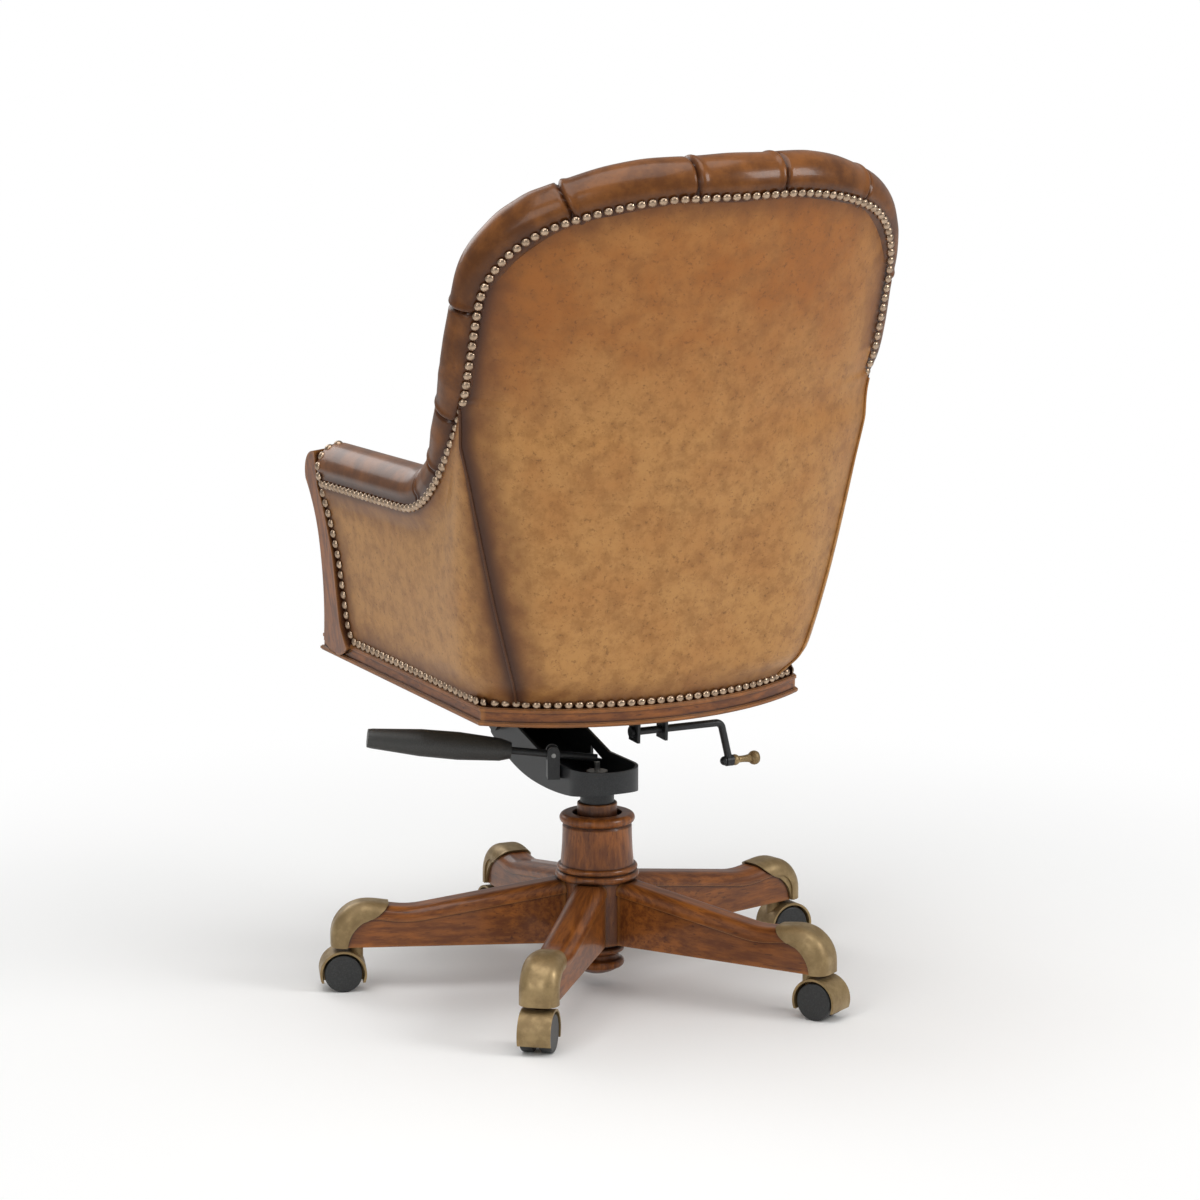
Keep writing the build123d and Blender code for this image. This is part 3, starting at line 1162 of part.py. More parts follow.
def main():
    os.makedirs("parts", exist_ok=True)

    write("legs", round_array(leg()))
    write("foot_caps", round_array(foot_cap()))
    write("caster_stems", round_array(stem()))
    write("column", column())
    write("finial", finial())
    write("stand_tube", stand_tube())
    write("guide_bush", guide_bush())

    for number in range(LEG_COUNT):
        label = f"caster_{number + 1}"
        write(f"{label}_hood", caster_place(number, caster_hood()))
        write(f"{label}_axle", caster_place(number, caster_axle()))
        write(f"{label}_wheel_left", caster_place(number, caster_wheel(1)))
        write(f"{label}_wheel_right", caster_place(number, caster_wheel(-1)))

    write("thrust_bearing", thrust_bearing())
    write("piston_rod", piston_rod())
    write("lift_chamber", lift_chamber())
    write("lift_collar", lift_collar())
    write("release_pin", release_pin())

    write("tilt_housing", tilt_housing())
    write("pivot_shaft", pivot_shaft())
    write("tilt_spring", tilt_spring())
    write("lever_rod", lever_rod())
    write("lever_pin", lever_pin())
    write("lever_grip", lever_grip())

    post = arm_post(0)
    socket = arm_post(FACE_GAP)
    write("seat_rail", seat_place(Compound(children=seat_rail([socket, mirrored(socket)]))))
    write("seat_deck", seat_place(seat_deck()))
    write("seat_plate", seat_place(seat_plate()))
    write("plate_bolts", [seat_place(bolt) for bolt in plate_bolts()])
    write("crank_bracket", seat_place(crank_bracket()))
    write("crank_rod", seat_place(crank_rod()))
    write("crank_knob", seat_place(crank_knob()))

    roll = edge_roll(ROLL_R)
    room = edge_roll(ROLL_R + SOFT_GAP)
    write("edge_roll", seat_place(roll))
    write("outside_back", seat_place(outside_back(room)))
    write("back_frame", seat_place(back_frame(room)))
    write("back_pad", seat_place(back_pad(room)))
    write("back_buttons", [seat_place(button) for button in back_buttons()])
    for name, piece in (("arm_post", post), ("arm_panel", arm_panel(room)),
                        ("arm_board", arm_board(room)), ("arm_pad", arm_pad(room))):
        write(f"{name}_left", seat_place(piece))
        write(f"{name}_right", seat_place(mirrored(piece)))
    write("seat_cushion", seat_place(seat_cushion()))
    write("front_border", seat_place(front_border()))


main()
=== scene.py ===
"""Looks of a high back leather desk chair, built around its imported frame."""
import math

import bpy
import numpy as np
from mathutils import Matrix, Vector


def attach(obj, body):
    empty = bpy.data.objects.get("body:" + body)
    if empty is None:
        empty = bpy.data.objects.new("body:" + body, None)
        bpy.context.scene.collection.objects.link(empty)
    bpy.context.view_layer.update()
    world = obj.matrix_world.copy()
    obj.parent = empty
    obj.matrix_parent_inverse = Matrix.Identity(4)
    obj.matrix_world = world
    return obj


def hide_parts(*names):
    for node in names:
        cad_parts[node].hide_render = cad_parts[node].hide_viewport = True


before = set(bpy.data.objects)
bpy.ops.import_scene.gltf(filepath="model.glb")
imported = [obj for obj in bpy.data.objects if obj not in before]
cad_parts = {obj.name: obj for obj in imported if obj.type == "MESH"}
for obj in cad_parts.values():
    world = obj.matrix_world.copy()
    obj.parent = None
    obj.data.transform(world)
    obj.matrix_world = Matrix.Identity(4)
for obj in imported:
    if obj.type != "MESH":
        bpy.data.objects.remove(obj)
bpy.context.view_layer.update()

bl_info = {
    "name": "High back desk chair",
    "version": (1, 0, 0),
    "blender": (4, 5, 0),
    "location": "View3D > Sidebar > Chair",
    "description": "Leather, nails, wood and brass of a high back desk chair",
    "category": "Object",
}

# Sizes of the frame in millimetres, in the seat's own frame: z = 0 is the rail's underside.
SEAT_PITCH = math.radians(-2.5)
RAIL_UNDERSIDE = 403.0
RAIL_TOP = 24.0
RAIL_REAR, RAIL_FRONT = (232.0, 126.0), (256.0, -322.0)
BACK_FOOT = (193.0, 380.0, 30.0)  # rear line, radius and height of the back's cone at its foot
BACK_CROWN = (363.0, 483.0, 708.0)  # and at the top nails
SHOULDER_X, SHOULDER_Z = 289.0, 585.0
CORNER_ROUND, CROWN_ROUND = 120.0, 395.0
SHOULDER_FULL, CROWN_FULL, CROWN_LIFT = 0.52, 0.48, 5.0  # stuffing that squares the shoulders
WING_Z = 470.0  # where the roll leaves the cone for the arm
ROLL_INSET, ROLL_OVERHANG = 30.0, 8.0
ROLL_FRONT = (248.0, -284.5, 257.0)
ROLL_BEND = (254.0, 72.0, 287.0)
ROLL_BEND_ROUND = 150.0
ROLL_ON_ARM_Z = 290.0  # below this the roll lies along the arm
ROUTE_STEP, EASE_STEPS = 2.0, 15  # spacing of a line's points, and how many ease a bend
ARM_NAILS_OUT, ARM_NAILS_DROP = 27.5, 18.0  # the arm's nails from the roll's centre line
NAIL_LEAN = (0.93, 0.36)  # how a nail on the roll faces, out and down

# Height and half width of the seam between the outside back and an outside arm.
SEAM = ((24, 186.5), (33, 188), (68, 194), (178, 227), (275, 254), (340, 272), (379, 284), (430, 292))
SEAM_TOP = 434.0  # where the seam ends under the nails
BULGE, BULGE_FULL, BULGE_TOP = 20.0, 90.0, 430.0  # swell of the low back, and where it is full and ends
REAR_BULGE = 9.0  # how far it fills out the back beside the seams
POST_REAR = ((24, -240), (36, -247.5), (52, -253.5), (140, -256.5), (190, -268.5), (236, -287))
POST_TOP = 236.0
ARM_SETBACK = 8.0
ARM_HIGH = (295.0, 289.0, 400.0)  # front and rear half width of the arm at a height over the roll
ARM_SHARE = 0.86  # of an outside arm's columns, those between the post and the corner
ARM_COLUMNS, ARM_ROWS = 130, 70
CORNER_COLUMNS, CORNER_ROUNDS = 9.0, 160  # how wide and how often the arm's rear corner is eased

BUTTON_ROWS, BUTTON_TOP_Z = 6, 561.0
BUTTON_STEP = (125.0, 71.5)
BUTTON_RADIUS, BUTTON_SINK = 0.0095, 3.5
PAD_FRONT = ((24, 68.6), (240, 80.6), (768, 64.6))  # height and depth of the inside back's face
PAD_CROWN = 8.0  # of the buttoning's depth, what stands over the pad's face
PAD_WIDE = 262.0  # half width of the inside back at its wings
PAD_SIDES = ((24, 196), (250, 222), (345, 246), (470, PAD_WIDE), (700, PAD_WIDE))
PAD_RIM = ((196, 24), (209, 137), (222, 250), (246, 345))
PLEATS = ((63.0, 716.0), (205.0, 684.0), (297.0, 561.0), (297.0, 418.0))  # the roll's tucks on the back
CROOK_TUCKS = ((255.0, 40.0, 292.0), (255.0, 96.0, 345.0))  # and where it turns down
TUCK_LEAN = 5.0

INSIDE_ARM_FRONT, INSIDE_ARM_LONG = -262.0, 374.0
INSIDE_ARM_TOP = ((-262, 246), (-28, 268), (58, 300), (112, 345))
INSIDE_ARM_PLEAT = 107.0
CUSHION_Y = -138.0  # middle of the cushion
CUSHION_BOTTOM, CUSHION_EDGE, CUSHION_CROWN = RAIL_TOP + 0.6, 98.0, 136.0
CUSHION_LOW, CUSHION_SIDE = 0.2, 0.5  # shares of its rows that lie below, and end at its welt
BORDER_HALF, BORDER_Y = 246.0, -322.5
RAIL_NAILS_UP = 5.0
BEHIND_OUTSIDE = (0.0, -80.0, 300.0)  # a point behind the outside covers
BEHIND_INSIDE = (0.0, 260.0, 300.0)  # a point behind the inside back
MIRROR = np.array([-1, 1, 1])
SIDES = (("left", 1), ("right", -1))


def length(name, description, default):
    return bpy.props.FloatProperty(name=name, description=description, default=default, unit="LENGTH")


def tint(name, description, default):
    return bpy.props.StringProperty(name=name, description=description, default=default)


class ChairSizes(bpy.types.PropertyGroup):
    """Sizes that a user may change."""
    nail_diameter: length("Nail", "Width of a dome nail", 0.0120)
    nail_pitch: length("Pitch", "Nail to nail", 0.0137)
    roll_radius: length("Roll", "Radius of the stuffed roll", 0.033)
    tuck_depth: length("Tuck", "Depth of the roll's tucks", 0.0055)
    tuft_depth: length("Tuft", "Depth of the buttoning", 0.024)
    welt_radius: length("Welt", "Radius of the seam's welt", 0.0017)


class ChairColours(bpy.types.PropertyGroup):
    """Colours that a user may change, as sRGB hex."""
    hide_light: tint("Hide", "Rubbed centre of the hide", "#b6844a")
    hide_warm: tint("Hide, warm", "Upper part of the hide", "#9c5e24")
    hide_dark: tint("Burnish", "Burnished edges of the hide", "#3a1f12")
    roll_light: tint("Roll", "Rubbed crown of the roll", "#7d4c22")
    # Painted shade: the colour mixed into the roll's tucks and the inside hide's pleats, button hollows and
    # undersides.
    painted_shade_tint: tint("Roll, dark", "Tucks of the roll", "#3b1e10")
    wood_light: tint("Wood", "Rubbed wood", "#9a5a22")
    # Glaze in the pores, and also the painted shade in the wood's hollows and joints.
    wood_glaze_and_shade: tint("Glaze", "Dark glaze of the wood", "#2c150b")
    brass: tint("Brass", "Antiqued brass", "#a18960")
    nail: tint("Nails", "Nail heads", "#c0a890")
    floor: tint("Floor", "Pale floor", "#f4f4f3")


def sizes():
    return bpy.context.scene.chair_sizes


def colours():
    return bpy.context.scene.chair_colours


# Shapes

def to_world(points):
    """Seat frame in millimetres to the row frame in metres."""
    points = np.asarray(points, float)
    turn_cos, turn_sin = math.cos(SEAT_PITCH), math.sin(SEAT_PITCH)
    y = points[..., 1] * turn_cos - points[..., 2] * turn_sin
    z = points[..., 1] * turn_sin + points[..., 2] * turn_cos + RAIL_UNDERSIDE
    return np.stack([points[..., 0], y, z], axis=-1) / 1000


def smooth(low, high, value):
    """0 below low, 1 above high, eased between."""
    share = np.clip((value - low) / (high - low), 0, 1)
    return share * share * (3 - 2 * share)


def hump(away, width):
    """1 at a place, falling to 0 within about two widths of it."""
    return np.exp(-(away / width) ** 2)


def along(table, value):
    """Value read from a table of pairs, straight between its rows."""
    rows = np.asarray(table, float)
    return np.interp(value, rows[:, 0], rows[:, 1])


def unit(vectors):
    return vectors / np.linalg.norm(vectors, axis=-1, keepdims=True)


def square_to(tangent, normal):
    """The part of each direction that is square to a line's tangent."""
    return unit(normal - tangent * np.sum(normal * tangent, axis=1, keepdims=True))


def back_line(part, z):
    """Rear line (part 0) or radius (part 1) of the back's cone at a height."""
    share = (z - BACK_FOOT[2]) / (BACK_CROWN[2] - BACK_FOOT[2])
    return BACK_FOOT[part] + (BACK_CROWN[part] - BACK_FOOT[part]) * share


def on_cone(x, z, depth=0.0):
    """Point of the back at a width and height of its skin, moved in by depth."""
    x, z = np.broadcast_arrays(np.asarray(x, float), np.asarray(z, float))
    radius = back_line(1, z)
    angle = np.arcsin(np.clip(x / radius, -1, 1))
    reach = radius - depth
    return np.stack([reach * np.sin(angle), back_line(0, z) - radius + reach * np.cos(angle), z], axis=-1)


def inside_point(x, z, depth):
    """Point inside the back at its own width and height, a depth under the skin."""
    radius = back_line(1, z)
    return on_cone(x * radius / (radius - depth), z, depth)


def cone_normal(x, z):
    side = np.clip(x / back_line(1, z), -1, 1)
    lean = (BACK_CROWN[0] - BACK_FOOT[0]) / (BACK_CROWN[2] - BACK_FOOT[2])
    return unit(np.stack([side, np.sqrt(1 - side ** 2), -lean * np.ones_like(side)], axis=-1))


def run_lengths(points):
    """Length of a line from its start to each of its points."""
    return np.concatenate([[0], np.cumsum(np.linalg.norm(np.diff(points, axis=0), axis=1))])


def read_line(places, lengths, points):
    return np.stack([np.interp(places, lengths, column) for column in points.T], axis=1)


def even_steps(points, step):
    """The same line with its points a step apart."""
    lengths = run_lengths(points)
    count = max(2, int(round(lengths[-1] / step)) + 1)
    return read_line(np.linspace(0, lengths[-1], count), lengths, points)


def rounded_route(corners, radii):
    """Points along straight runs joined by arcs, a step apart."""
    corners = [np.asarray(c, float) for c in corners]
    route = [corners[0]]
    for before, corner, after, radius in zip(corners, corners[1:], corners[2:], radii):
        to_before, to_after = unit(before - corner), unit(after - corner)
        half = math.acos(np.clip(np.dot(to_before, to_after), -1, 1)) / 2
        reach = radius / math.tan(half)
        centre = corner + unit(to_before + to_after) * radius / math.sin(half)
        start, end = corner + to_before * reach - centre, corner + to_after * reach - centre
        sweep = math.pi - 2 * half
        for share in np.linspace(0, 1, 24):
            spoke = start * math.sin((1 - share) * sweep) + end * math.sin(share * sweep)
            route.append(centre + spoke / math.sin(sweep))
    route.append(corners[-1])
    return even_steps(np.array(route), ROUTE_STEP)


def crown_outline(grow):
    """Front view of the back's edge from the left wing over the top to the right wing."""
    side, rise = SHOULDER_X + grow, BACK_CROWN[2] - SHOULDER_Z + CROWN_LIFT + grow
    half = [(side, WING_Z), (side, SHOULDER_Z + SHOULDER_FULL * rise), (CROWN_FULL * side, SHOULDER_Z + rise)]
    corners = half + [(-x, z) for x, z in reversed(half)]
    radii = (CORNER_ROUND, CROWN_ROUND, CROWN_ROUND, CORNER_ROUND)
    return rounded_route(corners, [radius + grow for radius in radii])


def roll_line():
    """Centre line of the roll with, at each point, its tangent, outward and panel directions and place."""
    outline = crown_outline(ROLL_OVERHANG)
    back = on_cone(outline[:, 0], outline[:, 1], ROLL_INSET)
    arm = rounded_route([ROLL_FRONT, ROLL_BEND, back[0]], [ROLL_BEND_ROUND])
    route = even_steps(np.concatenate([arm[:-1], back, (arm[::-1] * MIRROR)[1:]]), ROUTE_STEP)
    window = np.hanning(2 * EASE_STEPS + 1)
    window /= window.sum()
    padded = np.pad(route, ((EASE_STEPS, EASE_STEPS), (0, 0)), "edge")
    eased = np.stack([np.convolve(column, window, "valid") for column in padded.T], axis=1)
    route = route + (eased - route) * smooth(4, 24, from_ends(route))[:, None]
    tangent = unit(np.gradient(route, axis=0))
    on_back = smooth(ROLL_ON_ARM_Z, WING_Z, route[:, 2])[:, None]
    side = np.sign(route[:, 0])[:, None] * np.array([[1.0, 0.0, 0.0]])
    normal = square_to(tangent, side * (1 - on_back) + cone_normal(route[:, 0], route[:, 2]) * on_back)
    return route, tangent, normal, np.cross(tangent, normal), on_back


def from_ends(route):
    """Number of points from each point to the nearer end of a line."""
    count = np.arange(len(route))
    return np.minimum(count, count[::-1])


def nail_line():
    """Where the panels meet the roll, with the outward direction of each point."""
    route, _, normal, panel, on_back = roll_line()
    drop = ARM_NAILS_DROP + (ROLL_OVERHANG - ARM_NAILS_DROP) * on_back
    out = ARM_NAILS_OUT + (ROLL_INSET - ARM_NAILS_OUT) * on_back
    return route + normal * out + panel * drop, normal * NAIL_LEAN[0] + panel * NAIL_LEAN[1]


def arm_line(z, y):
    """Half width of the outside arm at a height and place."""
    share = (z - RAIL_TOP) / (ARM_HIGH[2] - RAIL_TOP)
    place = (y - RAIL_FRONT[1]) / (RAIL_REAR[1] - RAIL_FRONT[1])
    low = RAIL_FRONT[0] + (RAIL_REAR[0] - RAIL_FRONT[0]) * place - ARM_SETBACK
    high = ARM_HIGH[0] + (ARM_HIGH[1] - ARM_HIGH[0]) * place
    return low + (high - low) * share


def swell(z):
    """How far the stuffing pushes the low back out at a height."""
    share = np.clip((BULGE_TOP - z) / (BULGE_TOP - BULGE_FULL), 0, 1)
    top = np.sin(share * math.pi / 2) ** 0.7 * (1 - smooth(BULGE_TOP - 60, BULGE_TOP, z))
    return BULGE * top * smooth(RAIL_TOP - 4, RAIL_TOP + 50, z)


def on_panel(x, z):
    """Point of the outside back at a width and height, with its swell."""
    wide = np.abs(x)
    side = 0.25 + 0.75 * smooth(40, 190, wide)
    fill = REAR_BULGE * smooth(RAIL_TOP, BULGE_FULL, z) * (1 - smooth(BULGE_FULL, 320, z))
    fill = fill * smooth(70, 200, wide)
    filled = np.stack([0.45 * np.sign(x) * fill, 0.89 * fill, np.zeros_like(fill)], axis=-1)
    return on_cone(x, z) + cone_normal(x, z) * (swell(z) * side)[..., None] + filled


def arm_corner(z):
    """Corner between the outside arm and the back at a height, and what its swell adds."""
    y = np.full_like(z, RAIL_REAR[1])
    for _ in range(12):
        x = arm_line(z, y)
        y = on_cone(x, z)[..., 1]
    return np.stack([x, y, z], axis=-1), np.array([0.84, 0.54, 0.0]) * (0.85 * swell(z))[..., None]


def button_places():
    """Width and height of each deep button."""
    places = []
    for row in range(BUTTON_ROWS):
        count = 4 if row % 2 == 0 else 3
        z = BUTTON_TOP_Z - row * BUTTON_STEP[1]
        places += [((number - (count - 1) / 2) * BUTTON_STEP[0], z) for number in range(count)]
    return np.array(places)


# Making pieces

def clear_selection():
    if bpy.context.object and bpy.context.object.mode != "OBJECT":
        bpy.ops.object.mode_set(mode="OBJECT")
    bpy.ops.object.select_all(action="DESELECT")


def select_only(piece):
    clear_selection()
    piece.select_set(True)
    bpy.context.view_layer.objects.active = piece


def new_piece(name):
    """Name the object that an operator has just added."""
    piece = bpy.context.object
    piece.name = name
    piece.data.name = name
    return piece


def grid_piece(name, columns, rows, place, marks, wrap=False):
    """A grid primitive laid on a surface: place turns its two shares into points in the row frame."""
    clear_selection()
    bpy.ops.mesh.primitive_grid_add(x_subdivisions=columns, y_subdivisions=rows, size=2)
    piece = new_piece(name)
    mesh = piece.data
    flat = np.empty(len(mesh.vertices) * 3)
    mesh.vertices.foreach_get("co", flat)
    across, up = ((flat.reshape(-1, 3)[:, :2] + 1) / 2).T
    mesh.vertices.foreach_set("co", place(across, up).reshape(-1))
    for mark, values in marks(across, up).items():
        mesh.attributes.new(mark, "FLOAT", "POINT").data.foreach_set("value", np.asarray(values, np.float32))
    mesh.update()
    if wrap:
        edit_all(piece)
        bpy.ops.mesh.remove_doubles(threshold=0.00002)
        bpy.ops.object.mode_set(mode="OBJECT")
        close_ends(piece)
    return piece


def edit_all(piece):
    """Edit mode with everything on one piece selected."""
    select_only(piece)
    bpy.ops.object.mode_set(mode="EDIT")
    bpy.ops.mesh.select_all(action="SELECT")


def close_ends(piece):
    """Fill the open rims of a tube and turn its faces outwards."""
    edit_all(piece)
    bpy.ops.mesh.select_all(action="DESELECT")
    bpy.ops.mesh.select_mode(type="EDGE")
    bpy.ops.mesh.select_non_manifold(extend=False)
    bpy.ops.mesh.fill_holes(sides=0)
    bpy.ops.mesh.select_all(action="SELECT")
    bpy.ops.mesh.normals_make_consistent(inside=False)
    bpy.ops.object.mode_set(mode="OBJECT")


def sheet_piece(name, columns, rows, place, marks, thickness, behind, even=False):
    """A laid grid with its faces turned away from a point behind it, and a back."""
    piece = grid_piece(name, columns, rows, place, marks)
    origin = Vector(to_world(np.array(behind)))
    if sum((face.center - origin).dot(face.normal) for face in piece.data.polygons) < 0:
        piece.data.flip_normals()
    modifier = piece.modifiers.new("Thickness", "SOLIDIFY")
    modifier.thickness = thickness
    modifier.offset = -1.0
    modifier.use_even_offset = even
    select_only(piece)
    bpy.ops.object.modifier_apply(modifier=modifier.name)
    shade(piece, 60)
    return piece


def shade(piece, angle):
    select_only(piece)
    bpy.ops.object.shade_smooth_by_angle(angle=math.radians(angle))


def wear(piece, material):
    piece.data.materials.clear()
    piece.data.materials.append(bpy.data.materials[material])


def dress(piece, material, replaced=()):
    """Give a finished piece of the seat its material and what it stands for."""
    wear(piece, material)
    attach(piece, "seat")
    if replaced:
        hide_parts(*replaced)


def copies(name, model, places):
    """Copies of a model, each with its own mesh, joined into one piece."""
    made = []
    for place in places:
        copy = model.copy()
        copy.data = model.data.copy()
        copy.data.transform(place)
        bpy.context.collection.objects.link(copy)
        made.append(copy)
    bpy.data.objects.remove(model)
    clear_selection()
    for copy in made:
        copy.select_set(True)
    bpy.context.view_layer.objects.active = made[0]
    bpy.ops.object.join()
    return new_piece(name)


def facing(point, normal):
    """Matrix that stands a shape drawn along +Z on a point of the seat frame, facing a direction."""
    way = Vector((to_world(normal) - to_world(np.zeros(3))) * 1000)
    turn = way.to_track_quat("Z", "Y").to_matrix().to_4x4()
    return Matrix.Translation(Vector(to_world(point))) @ turn


def row_of(share, count):
    """Number of the point at a share of a line's length."""
    return np.clip(np.round(share * (count - 1)).astype(int), 0, count - 1)


def tube_piece(name, route, tangent, normal, ring, marks, shape):
    """A tube along a line of the seat frame; shape gives the radius at each place round and along it."""
    panel = np.cross(tangent, normal)

    def place(around, share):
        index = row_of(share, len(route))
        angle = around * 2 * math.pi
        way = np.cos(angle)[:, None] * normal[index] + np.sin(angle)[:, None] * panel[index]
        return to_world(route[index] + shape(angle, index)[:, None] * way)

    return grid_piece(name, ring, len(route) - 1, place, marks, wrap=True)


# Materials

def linear(hex_colour):
    """sRGB hex to linear light."""
    values = [int(hex_colour[place:place + 2], 16) / 255 for place in (1, 3, 5)]
    return [v / 12.92 if v <= 0.04045 else ((v + 0.055) / 1.055) ** 2.4 for v in values] + [1.0]


def add(tree, kind, links=(), values=(), **settings):
    """One node with its settings, its fixed values and its links."""
    made = tree.nodes.new(kind)
    for key, value in settings.items():
        setattr(made, key, value)
    for key, value in dict(values).items():
        made.inputs[key].default_value = value
    for key, socket in dict(links).items():
        tree.links.new(socket, made.inputs[key])
    return made


def per_metre(millimetres):
    """Texture scale that gives a pattern of this size."""
    return 1000.0 / millimetres


def start_material(name, values):
    """A new material with fixed values on its shader, and its place on the object."""
    material = bpy.data.materials.new(name)
    material.use_nodes = True
    tree = material.node_tree
    shader = tree.nodes["Principled BSDF"]
    for key, value in values.items():
        shader.inputs[key].default_value = value
    return tree, shader, add(tree, "ShaderNodeTexCoord").outputs["Object"]


def mix(tree, share, first, second):
    """Colour mix; share is a socket, and first and second are sockets or hex."""
    made = add(tree, "ShaderNodeMix", data_type="RGBA")
    for key, value in ((0, share), (6, first), (7, second)):
        if isinstance(value, str):
            made.inputs[key].default_value = linear(value)
        else:
            tree.links.new(value, made.inputs[key])
    return made.outputs[2]


def span(tree, value, low, high, to_low=0.0, to_high=1.0):
    """A value's range turned into another, eased at both ends."""
    limits = {"From Min": low, "From Max": high, "To Min": to_low, "To Max": to_high}
    made = add(tree, "ShaderNodeMapRange", {"Value": value}, limits, interpolation_type="SMOOTHSTEP")
    return made.outputs[0]


def noise(tree, coords, size_mm, detail, roughness=0.5):
    """Noise with patches of a real size."""
    values = {"Scale": per_metre(size_mm), "Detail": detail, "Roughness": roughness}
    return add(tree, "ShaderNodeTexNoise", {"Vector": coords}, values).outputs["Fac"]


def reckon(tree, operation, first, second, clamp=False):
    return add(tree, "ShaderNodeMath", {0: first, 1: second}, operation=operation, use_clamp=clamp).outputs[0]


def emboss(tree, shader, height, strength, distance):
    """Bump from a height, linked to the shader."""
    bump = add(tree, "ShaderNodeBump", {"Height": height}, {"Strength": strength, "Distance": distance})
    tree.links.new(bump.outputs["Normal"], shader.inputs["Normal"])
    return bump


def pebble(tree, shader, coords, size_mm, height):
    """Pebbled grain, drawn a little coarse so that it shows."""
    scale = {"Scale": per_metre(size_mm)}
    cells = add(tree, "ShaderNodeTexVoronoi", {"Vector": coords}, scale, feature="SMOOTH_F1")
    grain = reckon(tree, "MULTIPLY", cells.outputs["Distance"], noise(tree, coords, 14.0, 5.0))
    emboss(tree, shader, grain, 0.35, height)


def hide_leather():
    """Hand-rubbed aniline hide: pale in the middle, burnished dark where it is nailed and sewn, flecked."""
    tints = colours()
    tree, shader, coords = start_material("hand_rubbed_hide", {"Roughness": 0.42, "Specular IOR Level": 0.36})
    height = add(tree, "ShaderNodeSeparateXYZ", {"Vector": coords}).outputs["Z"]
    cloud = span(tree, noise(tree, coords, 150.0, 6.0, 0.6), 0.35, 0.7, -0.2, 0.35)
    warm = reckon(tree, "ADD", span(tree, height, 0.62, 1.02, 0.0, 0.75), cloud, clamp=True)
    base = mix(tree, warm, tints.hide_light, tints.hide_warm)
    mottle = noise(tree, coords, 22.0, 7.0, 0.7)
    base = mix(tree, span(tree, mottle, 0.4, 0.68, 0.0, 0.5), base, "#7d4f22")
    fleck = noise(tree, coords, 6.5, 5.0, 0.8)
    base = mix(tree, span(tree, fleck, 0.54, 0.66, 0.0, 0.5), base, "#56331a")
    edge = add(tree, "ShaderNodeAttribute", attribute_name="edge").outputs["Fac"]
    streak = span(tree, noise(tree, coords, 26.0, 4.0), 0.3, 0.7, -7.0, 7.0)
    worn = reckon(tree, "ADD", edge, streak)
    base = mix(tree, span(tree, worn, 2.0, 56.0, 0.86, 0.0), base, "#663a1a")
    base = mix(tree, span(tree, edge, 2.0, 20.0, 0.9, 0.0), base, tints.hide_dark)
    tree.links.new(base, shader.inputs["Base Color"])
    pebble(tree, shader, coords, 2.2, 0.0005)


def roll_leather(name, light, dark, roughness, blotch):
    """The same hide drawn tight over a roll: darker and glazed, with painted shade, nearly black, in its
    tucks and other folds.
    """
    tree, shader, coords = start_material(name, {
        "Roughness": roughness, "Coat Weight": 0.16, "Coat Roughness": 0.1, "Specular IOR Level": 0.22})
    cloud = noise(tree, coords, 45.0, 6.0, 0.62)
    base = mix(tree, span(tree, cloud, 0.34, 0.68, blotch, 0.0), light, "#4f2c12")
    fleck = noise(tree, coords, 6.0, 3.0, 0.7)
    base = mix(tree, span(tree, fleck, 0.6, 0.75, 0.0, 0.4), base, "#40220f")
    # Painted shade: the dark colour is mixed in wherever the mesh marks a tuck, pleat, button hollow or
    # underside.
    base = mix(tree, add(tree, "ShaderNodeAttribute", attribute_name="crease_shade").outputs["Fac"], base, dark)
    tree.links.new(base, shader.inputs["Base Color"])
    pebble(tree, shader, coords, 2.0, 0.0004)


def grain_way(tree, coords, stretch):
    """Coordinates drawn out along the grain: by a stretch, or out from the middle where there is none."""
    if stretch is not None:
        return add(tree, "ShaderNodeMapping", {"Vector": coords}, {"Scale": stretch}).outputs[0]
    parts = add(tree, "ShaderNodeSeparateXYZ", {"Vector": coords}).outputs
    around = reckon(tree, "ARCTAN2", parts["Y"], parts["X"])
    reach = add(tree, "ShaderNodeVectorMath", {0: coords}, operation="LENGTH").outputs["Value"]
    radial = add(tree, "ShaderNodeCombineXYZ", {"X": reach, "Y": around, "Z": parts["Z"]}).outputs[0]
    drawn = add(tree, "ShaderNodeVectorMath", {0: radial}, {1: (0.12, 0.28, 1.0)}, operation="MULTIPLY")
    return drawn.outputs[0]


